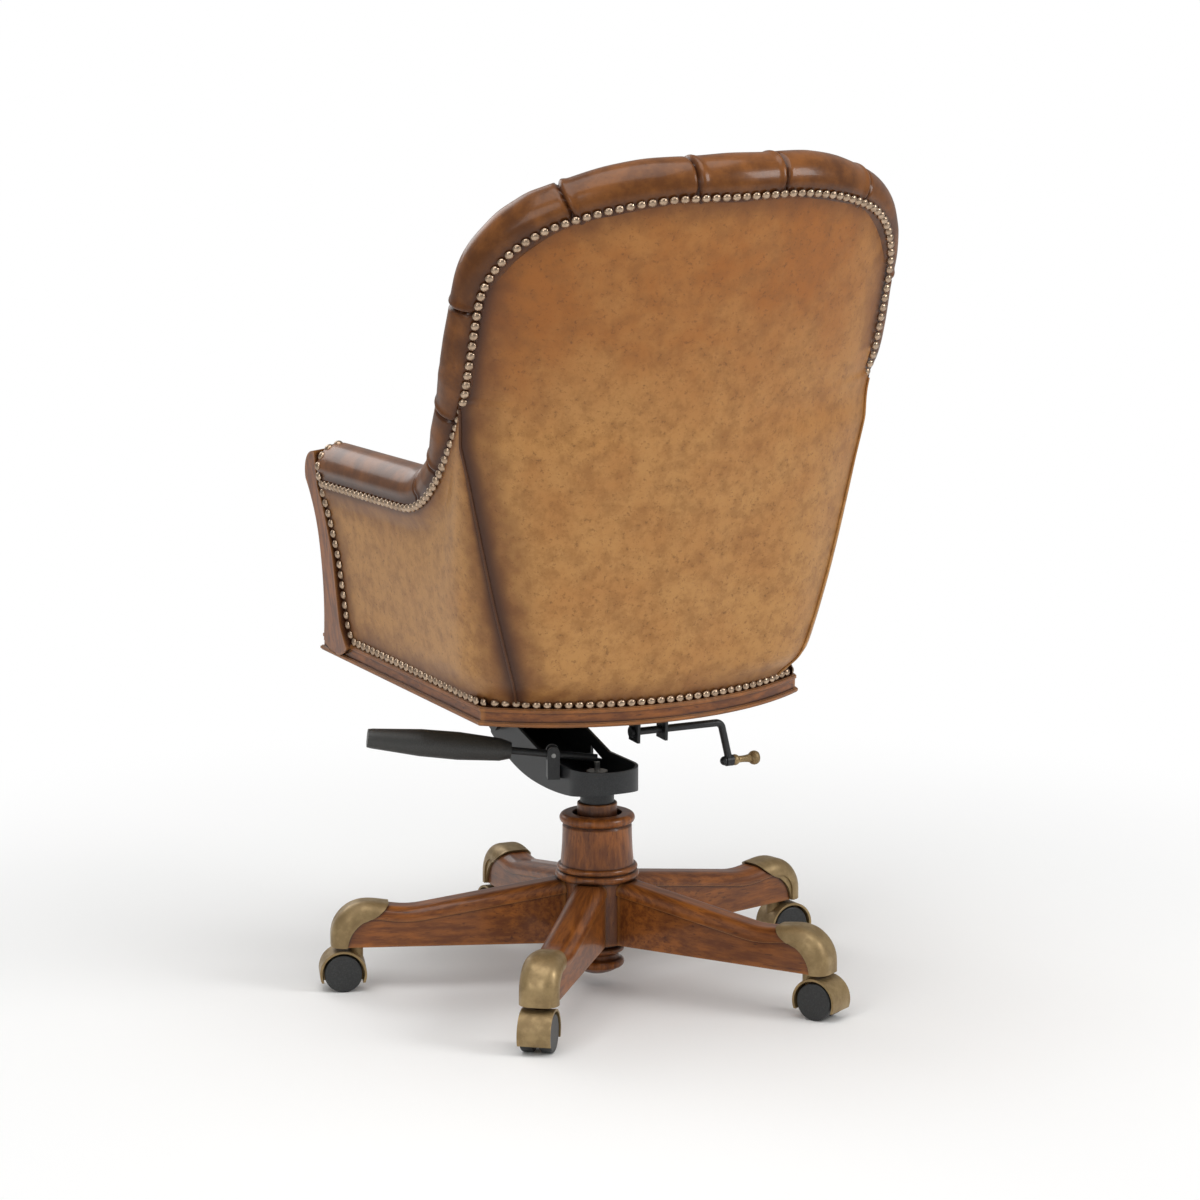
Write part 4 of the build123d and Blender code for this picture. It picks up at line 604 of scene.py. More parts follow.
def glazed_wood(name, stretch):
    """Stained hardwood with dark glaze in the pores and a semi-gloss lacquer; its hollows and joints get dark
    glaze with painted shade, and its convex edges get rubbed wear with a painted highlight.
    """
    tints = colours()
    tree, shader, coords = start_material(name, {
        "Roughness": 0.4, "Coat Weight": 0.3, "Coat Roughness": 0.1, "Specular IOR Level": 0.3})
    stretched = grain_way(tree, coords, stretch)
    grain = noise(tree, stretched, 9.0, 8.0, 0.66)
    base = mix(tree, span(tree, grain, 0.36, 0.64, 0.8, 0.0), tints.wood_light, "#5a2c0e")
    cloud = noise(tree, coords, 60.0, 4.0)
    base = mix(tree, span(tree, cloud, 0.36, 0.7, 0.35, 0.0), base, "#4a2512")
    pores = noise(tree, stretched, 2.6, 2.0)
    base = mix(tree, span(tree, pores, 0.62, 0.72, 0.0, 0.6), base, tints.wood_glaze_and_shade)
    # Painted shade: occlusion darkens hollows and the joints between parts, together with glaze.
    hollow_shade = add(tree, "ShaderNodeAmbientOcclusion", values={"Distance": 0.022}, samples=6)
    base = mix(tree, span(tree, hollow_shade.outputs["AO"], 0.5, 1.0, 0.92, 0.0), base, tints.wood_glaze_and_shade)
    # Painted highlight: convex edges are lightened, partly as rubbed-through wear.
    rubbed_edge_highlight = add(tree, "ShaderNodeAmbientOcclusion", values={"Distance": 0.006}, samples=6, inside=True)
    base = mix(tree, span(tree, rubbed_edge_highlight.outputs["AO"], 0.35, 0.9, 0.55, 0.0), base, "#b0763c")
    tree.links.new(base, shader.inputs["Base Color"])
    bump = emboss(tree, shader, pores, 0.12, 0.0003)
    eased = add(tree, "ShaderNodeBevel", values={"Radius": 0.0025}, samples=6)
    tree.links.new(eased.outputs["Normal"], bump.inputs["Normal"])


def aged_metal(name, light, dark, roughness, patch_mm, metallic):
    """Cast metal, toned dark and rubbed back: the tone stays in soft patches and dulls the metal."""
    tree, shader, coords = start_material(name, {"Metallic": metallic})
    cloud = noise(tree, coords, patch_mm, 6.0, 0.6)
    base = mix(tree, span(tree, cloud, 0.35, 0.7, 0.55, 0.0), light, dark)
    tree.links.new(base, shader.inputs["Base Color"])
    dulled = span(tree, cloud, 0.3, 0.7, roughness + 0.12, roughness - 0.05)
    tree.links.new(dulled, shader.inputs["Roughness"])


def plain_finish(name, colour, roughness, grit_mm, metallic=0.0):
    """Paint, moulded plastic or bare metal with the fine unevenness of its surface."""
    tree, shader, coords = start_material(name, {"Roughness": roughness, "Metallic": metallic})
    grit = noise(tree, coords, grit_mm, 3.0)
    parts = [int(colour[place:place + 2], 16) + 14 for place in (1, 3, 5)]
    lighter = "#" + "".join(f"{min(255, part):02x}" for part in parts)
    tree.links.new(mix(tree, span(tree, grit, 0.4, 0.7), colour, lighter), shader.inputs["Base Color"])
    emboss(tree, shader, grit, 0.2, 0.0002)


FINISHES = {
    "upright_wood": ("column", "finial", "lift_collar", "arm_post_left", "arm_post_right"),
    "leg_wood": ("legs",),
    "rail_wood": ("seat_rail",),
    "raw_board": ("seat_deck", "back_frame", "arm_board_left", "arm_board_right"),
    "toned_cast_brass": ("foot_caps", "crank_knob"),
    "bare_steel": ("caster_stems", "stand_tube", "thrust_bearing", "piston_rod", "lift_chamber",
                   "release_pin", "pivot_shaft", "tilt_spring", "lever_pin", "plate_bolts"),
    "satin_black_paint": ("tilt_housing", "seat_plate", "crank_bracket", "crank_rod", "lever_rod"),
    "black_nylon": ("lever_grip", "guide_bush"),
}


class CHAIR_OT_finishes(bpy.types.Operator):
    """Make the materials and give the frame's own pieces theirs."""
    bl_idname = "chair.finishes"
    bl_label = "Finishes"

    def execute(self, context):
        tints = colours()
        hide_leather()
        roll_leather("glazed_roll_hide", tints.roll_light, tints.painted_shade_tint, 0.3, 0.85)
        roll_leather("inside_hide", "#84552b", tints.painted_shade_tint, 0.36, 0.6)
        glazed_wood("upright_wood", (1.0, 1.0, 0.2))
        glazed_wood("rail_wood", (0.25, 0.25, 1.0))
        glazed_wood("leg_wood", None)
        aged_metal("toned_cast_brass", tints.brass, "#705b3b", 0.4, 18.0, 0.5)
        aged_metal("nail_brass", tints.nail, "#86705c", 0.26, 9.0, 1.0)
        plain_finish("raw_board", "#8d7450", 0.7, 4.0)
        plain_finish("bare_steel", "#8c8c8a", 0.38, 3.0, metallic=1.0)
        plain_finish("satin_black_paint", "#1c1e20", 0.42, 1.6)
        plain_finish("black_nylon", "#323230", 0.44, 1.2)
        plain_finish("tread_nylon", "#222323", 0.42, 2.0)
        named = {node: name for name, nodes in FINISHES.items() for node in nodes}
        for node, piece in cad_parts.items():
            other = "bare_steel" if "axle" in node else "toned_cast_brass"
            wear(piece, named.get(node, "tread_nylon" if "wheel" in node else other))
        return {"FINISHED"}


# Pieces

def crown_height(x):
    """Height of the nailed edge over a width of the back."""
    outline = crown_outline(0)
    upper = outline[outline[:, 1] >= SHOULDER_Z]
    order = np.argsort(upper[:, 0])
    return np.interp(x, upper[order, 0], upper[order, 1])


def panel_edge():
    """Height, half width and rearward place of points down the outside back's edge."""
    nails = nail_line()[0]
    left = nails[:len(nails) // 2]
    side = left[(left[:, 2] > 440) & (left[:, 2] < SHOULDER_Z + 2)]
    heights, widths = np.array(SEAM, float).T
    rears = on_panel(widths, heights)[:, 1]
    low = np.stack([heights, widths, rears])
    return np.concatenate([low, side[:, [2, 0, 1]].T], axis=1)


class CHAIR_OT_outside_back(bpy.types.Operator):
    """Outside back: one hide drawn over the bowed board."""
    bl_idname = "chair.outside_back"
    bl_label = "Outside back"

    def execute(self, context):
        heights, widths, rears = panel_edge()

        def lay(across, up):
            turn = np.sin((across * 2 - 1) * math.pi / 2)
            top = crown_height(turn * SHOULDER_X) + 2.0
            z = RAIL_TOP + up * (top - RAIL_TOP)
            return turn, top, z, np.interp(z, heights, widths)

        def place(across, up):
            turn, top, z, wide = lay(across, up)
            x = turn * wide
            point = on_panel(x, z)
            shift = np.where(z > SEAM_TOP, np.interp(z, heights, rears) - on_panel(wide, z)[:, 1], 0.0)
            point[:, 1] += shift * np.abs(turn) ** 8
            inside = np.minimum((1 - np.abs(turn)) * wide, np.minimum(top - z, z - RAIL_TOP))
            drawn = 2.4 * smooth(0, 70, inside) - 0.8
            ripple = 0.5 * np.sin(x / 13.7 * math.pi) * (1 - smooth(4, 26, top - z))
            return to_world(point + cone_normal(x, z) * (drawn + ripple)[:, None])

        def marks(across, up):
            turn, top, z, wide = lay(across, up)
            # Painted light: the burnish on the lower right side starts further from the edge, so that side
            # stays lighter where light catches it.
            painted_light_offset = np.where((turn < 0) & (z < WING_Z), 28.0, 0.0)
            side = (1 - np.abs(turn)) * wide + painted_light_offset
            return {"edge": np.minimum(np.minimum(side, top - z), (z - RAIL_TOP) * 1.15 + 3)}

        piece = sheet_piece("outside_back_hide", 150, 180, place, marks, 0.003, BEHIND_OUTSIDE, even=True)
        dress(piece, "hand_rubbed_hide", ["outside_back"])
        return {"FINISHED"}


def arm_edges():
    """Bottom line of the left outside arm from the post to the seam, and its nailed top line."""
    front_y = along(POST_REAR, RAIL_TOP) + 1
    corner = arm_corner(np.array([RAIL_TOP]))[0][0]
    sides = [(arm_line(RAIL_TOP, y), y, RAIL_TOP) for y in np.linspace(front_y, corner[1], 30)]
    rear = on_cone(np.linspace(corner[0], along(SEAM, RAIL_TOP), 12), RAIL_TOP)
    bottom = even_steps(np.concatenate([np.array(sides), rear[1:]]), 4.0)
    nails = nail_line()[0]
    start = int(np.argmax(nails[:, 1] > along(POST_REAR, POST_TOP) + 1))
    stop = int(np.argmax(nails[:, 2] > SEAM_TOP + 2))
    return bottom, nails[start:stop], corner[1]


class CHAIR_OT_outside_arms(bpy.types.Operator):
    """Outside arms: hide from the post round the rear corner to the seam."""
    bl_idname = "chair.outside_arms"
    bl_label = "Outside arms"

    def execute(self, context):
        bottom, top, corner_y = arm_edges()
        front_y = bottom[0, 1]
        rise = run_lengths(top)

        def lay(across, up):
            """Place of each point on the side of the arm, then on the strip between corner and seam."""
            run = np.clip(across / ARM_SHARE, 0, 1)
            high = read_line(run, rise / rise[-1], top)
            z = RAIL_TOP + (high[:, 2] - RAIL_TOP) * up
            y = front_y + (corner_y - front_y) * run
            y = y + (high[:, 1] - y) * up
            straight = front_y + (top[0, 1] - front_y) * up
            y += (along(POST_REAR, z) + 1 - straight) * (1 - run) ** 2
            strip = np.clip((across - ARM_SHARE) / (1 - ARM_SHARE), 0, 1)
            return run, strip, y, z, high

        def left_arm(across, up):
            run, strip, y, z, high = lay(across, up)
            x = arm_line(z, y) + 1.2 + 2.5 * np.sin(up * math.pi) * np.sin(run * math.pi)
            x += (high[:, 0] - x) * smooth(0.86, 1.0, up)
            fade = 1 - smooth(0.45, 0.95, up) * (1 - smooth(0.75, 1.0, run))
            swollen = arm_corner(z)[1] * (smooth(0.25, 1.0, run) ** 1.3 * fade)[:, None]
            side = np.stack([x, y, z], axis=1) + swollen
            strip_z = RAIL_TOP + (SEAM_TOP - RAIL_TOP) * up
            corner = sum(arm_corner(strip_z))
            seam = on_panel(along(SEAM, strip_z), strip_z)
            bow = np.sin(strip * math.pi)[:, None] * np.array([0.55, 0.83, 0.0]) * 3.0
            rear = corner + (seam - corner) * strip[:, None] + bow * np.sin(up * math.pi)[:, None]
            return ease_corner(np.where((strip > 0)[:, None], rear, side), across, up)

        def ease_corner(point, across, up):
            """The same points with the corner between side and back rounded off."""
            column, row = row_of(across, ARM_COLUMNS + 1), row_of(up, ARM_ROWS + 1)
            table = np.zeros((ARM_ROWS + 1, ARM_COLUMNS + 1, 3))
            table[row, column] = point
            near = hump(np.arange(1, ARM_COLUMNS) - ARM_SHARE * ARM_COLUMNS, CORNER_COLUMNS)[None, :, None]
            for _ in range(CORNER_ROUNDS):
                table[:, 1:-1] += 0.5 * near * ((table[:, :-2] + table[:, 2:]) / 2 - table[:, 1:-1])
            return table[row, column]

        for word, sign in SIDES:
            def place(across, up, flip=np.array([sign, 1, 1])):
                return to_world(left_arm(across, up) * flip)

            # Painted light: the right arm's burnish starts further from its edges, so that side stays lighter
            # where light catches it.
            def marks(across, up, painted_light_offset=2 if sign > 0 else 30):
                run, strip, y, z, high = lay(across, up)
                side = np.minimum((1 - strip) * 42 + (1 - run) * 330 + painted_light_offset, y - along(POST_REAR, z))
                tall = np.minimum(up, 1 - up) * (high[:, 2] - RAIL_TOP) + 2
                return {"edge": np.minimum(np.maximum(side, 0), tall)}

            piece = sheet_piece(f"outside_arm_hide_{word}", ARM_COLUMNS, ARM_ROWS, place, marks, 0.003,
                                BEHIND_OUTSIDE, even=True)
            dress(piece, "hand_rubbed_hide", [f"arm_panel_{word}"])
        return {"FINISHED"}


def roll_tucks(route):
    """Place along the roll of every tuck, both sides, with the crook's own."""
    spots = [on_cone(x, z, ROLL_INSET) for x, z in PLEATS] + [np.array(spot) for spot in CROOK_TUCKS]
    spots += [spot * MIRROR for spot in spots]
    return np.sort([np.argmin(np.linalg.norm(route - spot, axis=1)) for spot in spots])


def round_from(angle, middle):
    """Angle from a place round a tube, between minus and plus half a turn."""
    return np.mod(angle - middle + math.pi, 2 * math.pi) - math.pi


class CHAIR_OT_edge_roll(bpy.types.Operator):
    """Stuffed roll round the back and along the arms, gathered in tucks."""
    bl_idname = "chair.edge_roll"
    bl_label = "Edge roll"

    def execute(self, context):
        route, tangent, normal, _, _ = roll_line()
        tucks = roll_tucks(route)
        turned = np.where(tucks < len(route) / 2, 1.0, -1.0)[:, None]
        step = np.linalg.norm(np.diff(route, axis=0), axis=1).mean()
        radius = sizes().roll_radius * 1000
        depth = sizes().tuck_depth * 1000
        ends = from_ends(route) * step
        bend = np.linalg.norm(np.gradient(tangent, axis=0), axis=1) / step
        tight = smooth(0.003, 0.008, bend)

        def from_tucks(angle, index):
            """Distance of each point from each tuck, which leans a little as it goes round."""
            lean = TUCK_LEAN * np.sin(angle[None] + np.arange(len(tucks))[:, None])
            return (index[None] - tucks[:, None]) * step + lean

        def shape(angle, index):
            away = from_tucks(angle, index)
            low = hump(away, 2.0).sum(axis=0)
            lip = hump(away - turned * 6.0, 4.2).sum(axis=0)
            spread = np.min(np.abs(index[None] - tucks[:, None]), axis=0) * step
            full = 1.8 * smooth(0, 60, spread)
            wrinkle = 0.55 * np.sin(index * step / 9.0 + 1.7 * np.sin(index * step / 31.0)) * tight[index]
            wrinkle *= 0.5 - 0.5 * np.cos(angle - 0.9)
            nailed = 2.4 * hump(round_from(angle, 0.24), 0.16)
            close = 1.5 * (1 - smooth(0, 6, ends[index]))
            return radius - 1.0 + full - depth * low + 1.7 * lip + wrinkle - nailed - close

        def marks(around, share):
            angle = around * 2 * math.pi
            away = from_tucks(angle, row_of(share, len(route)))
            # Painted shade in each tuck and along the nailed side of the roll, where it meets the panel.
            dark = (hump(away, 2.4) + 0.14 * hump(away, 18.0)).sum(axis=0)
            near = hump(round_from(angle, 0.3), 0.3)
            return {"crease_shade": np.clip(0.85 * dark + 0.8 * near, 0, 0.95)}

        piece = tube_piece("edge_roll_hide", route, tangent, normal, 56, marks, shape)
        shade(piece, 70)
        dress(piece, "glazed_roll_hide", ["edge_roll"])
        return {"FINISHED"}


def pillow(x, z):
    """Buttoning at a place: 0 in a pleat, 1 in the middle of a diamond."""
    half, rise = BUTTON_STEP[0] / 2, BUTTON_STEP[1]
    wide, tall = x / half, (z - BUTTON_TOP_Z) / rise

    def wave(share):
        return np.abs(np.sin(math.pi * share))

    diamond = np.sqrt(wave((wide + tall) / 2 + 0.5) * wave((wide - tall) / 2 + 0.5))
    side = np.sqrt(wave(tall / 2))
    over = np.sqrt(wave((wide - 1) / 2))
    outer = smooth(1.5 * BUTTON_STEP[0], 1.5 * BUTTON_STEP[0] + 26, np.abs(x))
    upper = smooth(BUTTON_TOP_Z, BUTTON_TOP_Z + 26, z)
    return (diamond * (1 - outer) + side * outer) * (1 - upper) + over * upper


def nearest(x, z, spots):
    """Distance from each place to the nearest of some spots."""
    return np.min(np.hypot(x[:, None] - spots[None, :, 0], z[:, None] - spots[None, :, 1]), axis=1)


class CHAIR_OT_inside_back(bpy.types.Operator):
    """Inside back, buttoned deep in diamonds with straight pleats to its edge."""
    bl_idname = "chair.inside_back"
    bl_label = "Inside back"

    def execute(self, context):
        buttons = button_places()
        deep = sizes().tuft_depth * 1000 - PAD_CROWN
        low_z = RAIL_TOP + 8
        edge = crown_outline(-20)
        rim = np.concatenate([[(s * x, z) for s in (1, -1) for x, z in PAD_RIM], edge[::4]])
        rising = edge[edge[:, 0] > 0]

        def lay(across, up):
            turn = np.sin((across * 2 - 1) * math.pi / 2)
            top = np.minimum(crown_height(np.clip(turn * SHOULDER_X, -PAD_WIDE, PAD_WIDE)) - 12, 700)
            z = low_z + up * (top - low_z)
            wide = along(PAD_SIDES, z)
            return turn * wide, z, wide

        def place(across, up):
            x, z, wide = lay(across, up)
            puff = pillow(x, z)
            room = np.interp(z, rising[:, 1], rising[:, 0], left=1000.0)
            inset = np.where(np.abs(x) < room, np.minimum(nearest(x, z, rim), wide - np.abs(x)), 0.0)
            depth = along(PAD_FRONT, z) + 6.0 * smooth(0.05, 0.9, puff) - 5.0 * (1 - smooth(0, 0.35, puff))
            depth -= deep * hump(nearest(x, z, buttons), 17.0)
            depth -= 20.0 * (1 - smooth(0, 32, inset))
            return to_world(inside_point(x, z, depth))

        def marks(across, up):
            x, z, _ = lay(across, up)
            # Painted shade in the pleats and round each button's hollow.
            pleat = 0.75 * (1 - smooth(0.0, 0.4, pillow(x, z)))
            return {"crease_shade": np.clip(pleat + 0.5 * hump(nearest(x, z, buttons), 14), 0, 0.85)}

        piece = sheet_piece("inside_back_hide", 170, 180, place, marks, 0.016, BEHIND_INSIDE)
        dress(piece, "inside_hide", ["back_pad"])

        clear_selection()
        bpy.ops.mesh.primitive_uv_sphere_add(segments=20, ring_count=10, radius=BUTTON_RADIUS)
        bpy.ops.transform.resize(value=(1, 1, 0.5))
        bpy.ops.object.transform_apply(location=False, rotation=False, scale=True)
        model = new_piece("button_model")
        # Painted shade on the buttons: their lower halves, sunk in the leather, are darker than their tops.
        shades = [0.5 if vertex.co.z < 0.001 else 0.12 for vertex in model.data.vertices]
        model.data.attributes.new("crease_shade", "FLOAT", "POINT").data.foreach_set("value", shades)
        places = []
        for x, z in buttons:
            spot = inside_point(x, z, along(PAD_FRONT, z) - deep - BUTTON_SINK)
            places.append(facing(spot, -cone_normal(x, z)))
        knobs = copies("back_buttons_covered", model, places)
        shade(knobs, 60)
        dress(knobs, "inside_hide", ["back_buttons"])
        return {"FINISHED"}


class CHAIR_OT_inside_arms(bpy.types.Operator):
    """Stuffed inside arms between the cushion and the roll."""
    bl_idname = "chair.inside_arms"
    bl_label = "Inside arms"

    def execute(self, context):
        def pleat(across, up):
            away = np.mod(across * INSIDE_ARM_LONG, INSIDE_ARM_PLEAT) - 53
            return hump(away, 5.0) * smooth(0, 0.4, up)

        def marks(across, up):
            # Painted shade in the pleats and along the bottom, where the arm meets the cushion.
            return {"crease_shade": np.clip(0.7 * pleat(across, up) + 0.5 * (1 - smooth(0, 0.1, up)), 0, 0.8)}

        for word, sign in SIDES:
            def place(across, up, sign=sign):
                y = INSIDE_ARM_FRONT + across * INSIDE_ARM_LONG
                low = RAIL_TOP + 30
                z = low + up * (along(INSIDE_ARM_TOP, y) - low)
                ends = smooth(0, 0.12, across) * smooth(0, 0.12, 1 - across)
                full = 9 * np.sin(np.clip(up * 1.05, 0, 1) * math.pi) * ends
                x = arm_line(z, y) - 45 - full + 3.5 * pleat(across, up)
                return to_world(np.stack([sign * x, y, z], axis=1))

            behind = (sign * 1000.0, 0.0, 150.0)
            piece = sheet_piece(f"inside_arm_hide_{word}", 90, 60, place, marks, 0.018, behind)
            dress(piece, "inside_hide", [f"arm_pad_{word}"])
        return {"FINISHED"}


def cushion_plan(angle):
    """How far the cushion's edge lies from its middle in each direction."""
    c, s = np.cos(angle), np.sin(angle)
    wide = np.where(s < 0, 205.0, 205.0 - 26.0 * np.clip(s, 0, 1))
    deep = np.where(s < 0, 176.0, 262.0)
    power = np.where(s < 0, 5.0, 3.2)
    return (np.abs(c / wide) ** power + np.abs(s / deep) ** power) ** (-1 / power)


class CHAIR_OT_cushion(bpy.types.Operator):
    """Crowned seat cushion with a welted edge, and the padded border in front of it."""
    bl_idname = "chair.cushion"
    bl_label = "Cushion"

    def execute(self, context):
        def place(around, over):
            angle = around * 2 * math.pi
            below, beside = over < CUSHION_LOW, over < CUSHION_SIDE
            side = np.clip((over - CUSHION_LOW) / (CUSHION_SIDE - CUSHION_LOW), 0, 1)
            arch = np.clip((over - CUSHION_SIDE) / (1 - CUSHION_SIDE), 0, 1) * math.pi / 2
            low = np.clip(over / CUSHION_LOW, 0, 1) * 0.985
            share = np.where(below, low, np.where(beside, 1.0, np.cos(arch)))
            wall = CUSHION_BOTTOM + (CUSHION_EDGE - CUSHION_BOTTOM) * side
            top = CUSHION_EDGE + (CUSHION_CROWN - CUSHION_EDGE) * np.sin(arch) ** 0.8
            z = np.where(below, CUSHION_BOTTOM, np.where(beside, wall, top))
            bulge = np.where(beside & ~below, 4.5 * np.sin(side * math.pi), 0.0)
            reach = cushion_plan(angle) * share - 6.0 * (share > 0.2) + bulge
            return to_world(np.stack([np.cos(angle) * reach, CUSHION_Y + np.sin(angle) * reach, z], axis=1))

        def marks(around, over):
            # Painted shade along the welt line and over the underside.
            return {"crease_shade": np.clip(0.7 * hump(over - CUSHION_SIDE, 0.02) + 0.5 * (over < 0.22), 0, 0.8)}

        piece = grid_piece("seat_cushion_hide", 160, 60, place, marks, wrap=True)
        shade(piece, 70)
        dress(piece, "inside_hide", ["seat_cushion"])

        def border(around, across):
            x = (across * 2 - 1) * BORDER_HALF
            inside = BORDER_HALF - np.abs(x)
            tall = 15 + 11 * smooth(0, 24, inside)
            out, rise = np.cos(around * 2 * math.pi), np.sin(around * 2 * math.pi)
            z = RAIL_TOP + 1 + tall + tall * np.sign(rise) * np.abs(rise) ** 0.7
            full = 9.5 * smooth(0, 18, inside + 3) * np.clip(out, 0, 1) ** 0.7
            y = BORDER_Y - np.where(out > 0, full, -3 * np.clip(-out, 0, 1) ** 0.3)
            return to_world(np.stack([x, y, z], axis=1))

        def border_marks(around, across):
            # Painted shade along the border's underside.
            return {"crease_shade": np.clip(0.6 * hump(around - 0.75, 0.09), 0, 0.7)}

        front = grid_piece("front_border_hide", 48, 140, border, border_marks, wrap=True)
        shade(front, 60)
        dress(front, "inside_hide", ["front_border"])
        return {"FINISHED"}


def spaced(points, outward, pitch):
    """Places about a pitch apart along a line, with their directions."""
    lengths = run_lengths(points)
    count = int((lengths[-1] - pitch / 2) / pitch)
    marks = pitch / 2 + np.arange(count + 1) * (lengths[-1] - pitch) / max(1, count)
    return zip(read_line(marks, lengths, points), unit(read_line(marks, lengths, outward)))


def same_way(points, way):
    """One direction for every point of a line."""
    return np.tile(np.array([way]), (len(points), 1))


def both_sides(points, ways):
    return [(points, ways), (points * MIRROR, ways * MIRROR)]


def nail_rows():
    """Lines of nails with their outward directions, for each group."""
    nails, outward = nail_line()
    nails, outward = nails[3:-3], outward[3:-3]
    bottom = arm_edges()[0]
    on_side = np.arange(len(bottom))[:, None] < len(bottom) * 0.9
    side_way = np.where(on_side, np.array([[0.99, 0.03, -0.12]]), cone_normal(bottom[:, 0], bottom[:, 2]))
    low = bottom + np.array([0, 0, RAIL_NAILS_UP]) + side_way * 1.6
    rear_z = RAIL_TOP + 4.5
    seam_x = along(SEAM, rear_z)
    x = np.linspace(seam_x, -seam_x, 120)
    rear_way = cone_normal(x, rear_z)
    rear = on_cone(x, rear_z) + rear_way * 1.6
    rail = np.concatenate([low, rear, (low * MIRROR)[::-1]])
    rail_way = np.concatenate([side_way, rear_way, (side_way * MIRROR)[::-1]])
    border = np.array([(x, -330.5, RAIL_TOP + 7) for x in np.linspace(238, -238, 40)])
    heights = np.linspace(31, 232, 60)
    behind = along(POST_REAR, heights) + 6.5
    post = np.stack([arm_line(heights, behind) + 1.2, behind, heights], axis=1)
    route, _, normal, panel, _ = roll_line()
    turn = np.linspace(0.5, -1.7, 40)[:, None]
    ring_way = np.cos(turn) * normal[4] + np.sin(turn) * panel[4]
    ring = route[4] + 32.0 * ring_way
    return {
        "roll": [(nails + outward * 1.4, outward)],
        "rail": [(rail, rail_way), (border, same_way(border, (0.0, -0.85, -0.52)))],
        "posts": both_sides(post, same_way(post, (0.99, 0.0, -0.12))) + both_sides(ring, ring_way),
    }


class CHAIR_OT_nails(bpy.types.Operator):
    """Close-set dome nails along the roll, the posts and the rail."""
    bl_idname = "chair.nails"
    bl_label = "Nails"

    def execute(self, context):
        pitch = sizes().nail_pitch * 1000
        for word, rows in nail_rows().items():
            clear_selection()
            bpy.ops.mesh.primitive_uv_sphere_add(segments=12, ring_count=8, radius=sizes().nail_diameter / 2)
            model = new_piece("nail_model")
            edit_all(model)
            bpy.ops.mesh.bisect(plane_co=(0, 0, 0), plane_no=(0, 0, 1), clear_inner=True)
            bpy.ops.mesh.select_all(action="SELECT")
            bpy.ops.transform.resize(value=(1, 1, 0.66))
            bpy.ops.object.mode_set(mode="OBJECT")
            close_ends(model)
            places = [facing(spot, way) for points, ways in rows for spot, way in spaced(points, ways, pitch)]
            piece = copies(f"nails_{word}", model, places)
            shade(piece, 50)
            dress(piece, "nail_brass")
        return {"FINISHED"}


class CHAIR_OT_welts(bpy.types.Operator):
    """Welted seams between the outside back and the arms."""
    bl_idname = "chair.welts"
    bl_label = "Welts"

    def execute(self, context):
        heights = np.linspace(RAIL_TOP + 1, SEAM_TOP - 8, 120)
        for word, sign in SIDES:
            x = sign * along(SEAM, heights)
            normal = cone_normal(x, heights)
            route = on_panel(x, heights) + normal * 0.3
            tangent = unit(np.gradient(route, axis=0))
            normal = square_to(tangent, normal)

            def shape(angle, index):
                return np.full_like(angle, sizes().welt_radius * 1000)

            # Painted light: the left welt is burnished dark, the right one kept pale where light catches that
            # edge.
            def marks(around, share, inset=7.0 if sign > 0 else 60.0):
                return {"edge": np.full_like(around, inset)}

            piece = tube_piece(f"seam_welt_{word}", route, tangent, normal, 10, marks, shape)
            shade(piece, 60)
            dress(piece, "hand_rubbed_hide")
        return {"FINISHED"}


# Name, place, size, power and aim of each soft light.
LIGHTS = (
    ("overhead_softbox", (0.4, 0.6, 3.1), 2.6, 56.0, (0.0, 0.0, 0.7)),
    ("left_softbox", (3.0, 2.2, 1.9), 1.6, 24.0, (0.0, 0.1, 0.7)),
    ("right_softbox", (-2.4, 2.6, 2.2), 1.4, 54.0, (0.0, 0.2, 0.8)),
    ("front_softbox", (0.6, -3.0, 2.2), 2.0, 26.0, (0.0, 0.0, 0.6)),
)
WHITE = (1, 1, 1, 1)
CAMERA_PLACE = (2.9966, 5.9925, 1.8438)
CAMERA_TURN = (math.radians(78.81), 0, math.radians(153.4))


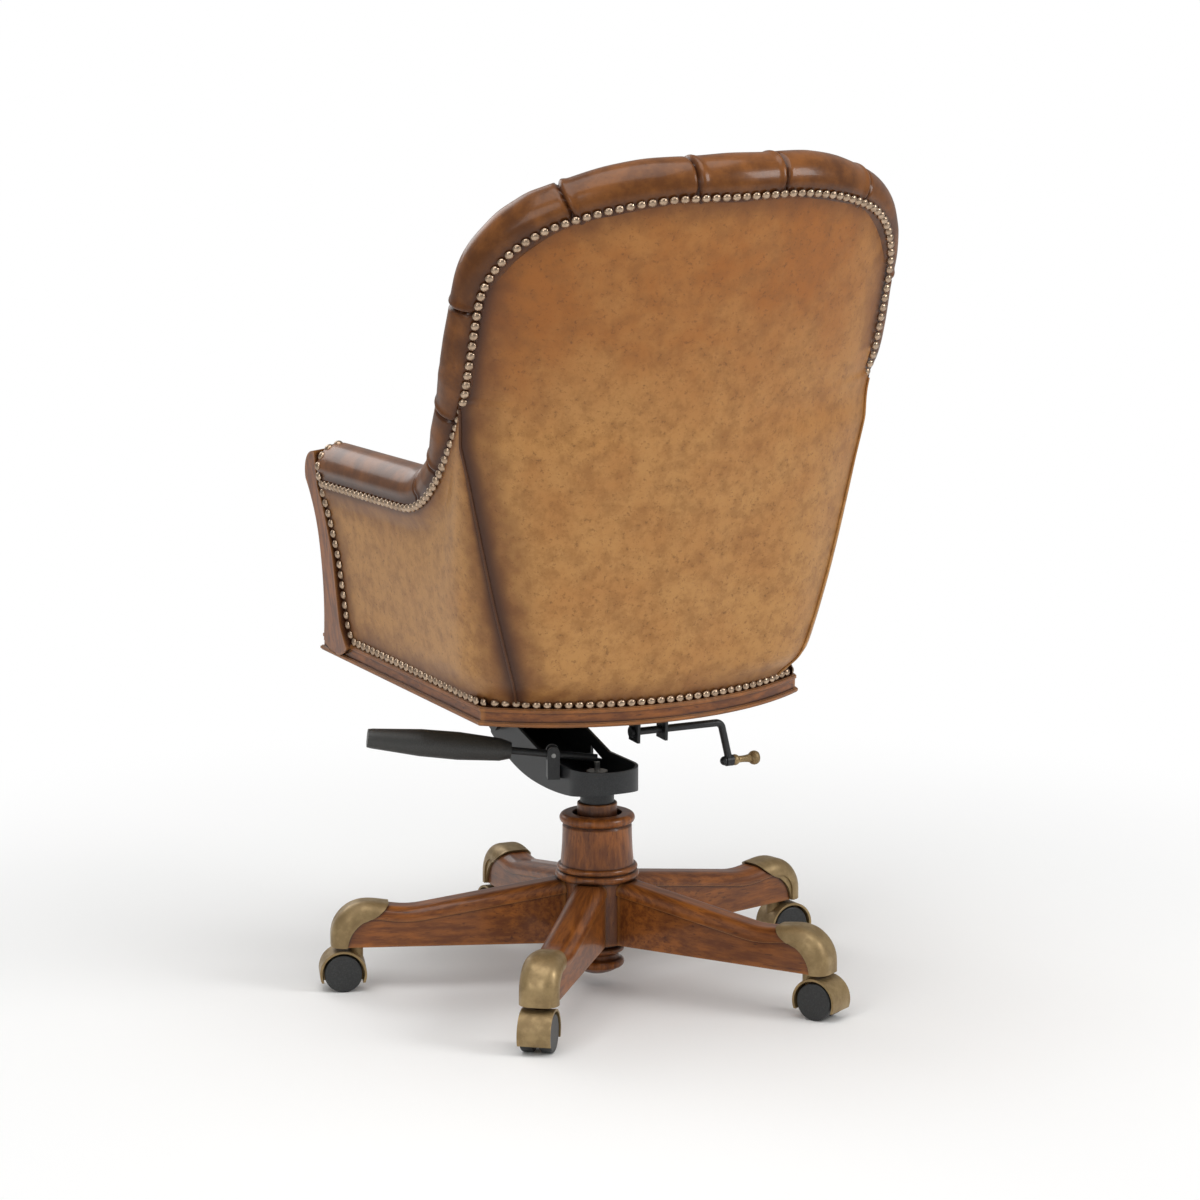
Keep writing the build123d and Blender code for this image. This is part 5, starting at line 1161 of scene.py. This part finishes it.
class CHAIR_OT_stage(bpy.types.Operator):
    """Pale floor, soft studio light and the camera at the photograph's angle."""
    bl_idname = "chair.stage"
    bl_label = "Stage"

    def execute(self, context):
        scene = context.scene
        scene.view_settings.view_transform = "Standard"
        clear_selection()
        bpy.ops.mesh.primitive_circle_add(vertices=96, radius=40, fill_type="NGON")
        floor = new_piece("studio_floor")
        tree, shader, coords = start_material("pale_floor", {"Roughness": 0.9})
        shader.inputs["Base Color"].default_value = linear(colours().floor)
        reach = add(tree, "ShaderNodeVectorMath", {0: coords}, operation="LENGTH").outputs["Value"]
        seen = add(tree, "ShaderNodeLightPath").outputs["Is Camera Ray"]
        fade = reckon(tree, "MULTIPLY", span(tree, reach, 0.45, 1.6), seen)
        white = add(tree, "ShaderNodeEmission", values={"Color": WHITE, "Strength": 1.0})
        both = add(tree, "ShaderNodeMixShader", {0: fade, 1: shader.outputs[0], 2: white.outputs[0]})
        tree.links.new(both.outputs[0], tree.nodes["Material Output"].inputs["Surface"])
        wear(floor, "pale_floor")

        scene.world = bpy.data.worlds.new("studio")
        scene.world.use_nodes = True
        sky = scene.world.node_tree
        seen = add(sky, "ShaderNodeLightPath").outputs["Is Camera Ray"]
        strength = add(sky, "ShaderNodeMapRange", {"Value": seen},
                       {"From Min": 0.0, "From Max": 1.0, "To Min": 0.36, "To Max": 1.0})
        back = sky.nodes["Background"]
        back.inputs["Color"].default_value = WHITE
        sky.links.new(strength.outputs[0], back.inputs["Strength"])

        for name, spot, size, power, aim in LIGHTS:
            clear_selection()
            bpy.ops.object.light_add(type="AREA", location=spot)
            lamp = new_piece(name)
            lamp.data.size = size
            lamp.data.energy = power
            lamp.rotation_euler = (Vector(aim) - Vector(spot)).to_track_quat("-Z", "Y").to_euler()

        clear_selection()
        bpy.ops.object.camera_add(location=CAMERA_PLACE, rotation=CAMERA_TURN)
        camera = new_piece("photo_camera")
        camera.data.sensor_width = 36.0
        camera.data.sensor_fit = "HORIZONTAL"
        camera.data.lens = 156.27
        camera.data.clip_end = 200.0
        scene.camera = camera
        return {"FINISHED"}


OPERATORS = (CHAIR_OT_finishes, CHAIR_OT_outside_back, CHAIR_OT_outside_arms, CHAIR_OT_edge_roll,
             CHAIR_OT_inside_back, CHAIR_OT_inside_arms, CHAIR_OT_cushion, CHAIR_OT_nails, CHAIR_OT_welts,
             CHAIR_OT_stage)


class CHAIR_PT_panel(bpy.types.Panel):
    """Sidebar list of the chair's pieces."""
    bl_idname = "CHAIR_PT_panel"
    bl_label = "Desk chair"
    bl_space_type = "VIEW_3D"
    bl_region_type = "UI"
    bl_category = "Chair"

    def draw(self, context):
        column = self.layout.column()
        for group in (context.scene.chair_sizes, context.scene.chair_colours):
            for key in group.__annotations__:
                column.prop(group, key)
        for kind in OPERATORS:
            column.operator(kind.bl_idname)


CLASSES = (ChairSizes, ChairColours, *OPERATORS, CHAIR_PT_panel)


def register():
    for kind in CLASSES:
        bpy.utils.register_class(kind)
    bpy.types.Scene.chair_sizes = bpy.props.PointerProperty(type=ChairSizes)
    bpy.types.Scene.chair_colours = bpy.props.PointerProperty(type=ChairColours)


def unregister():
    del bpy.types.Scene.chair_colours
    del bpy.types.Scene.chair_sizes
    for kind in reversed(CLASSES):
        bpy.utils.unregister_class(kind)


def main():
    register()
    for kind in OPERATORS:
        group, name = kind.bl_idname.split(".")
        getattr(getattr(bpy.ops, group), name)()


if __name__ == "__main__":
    main()
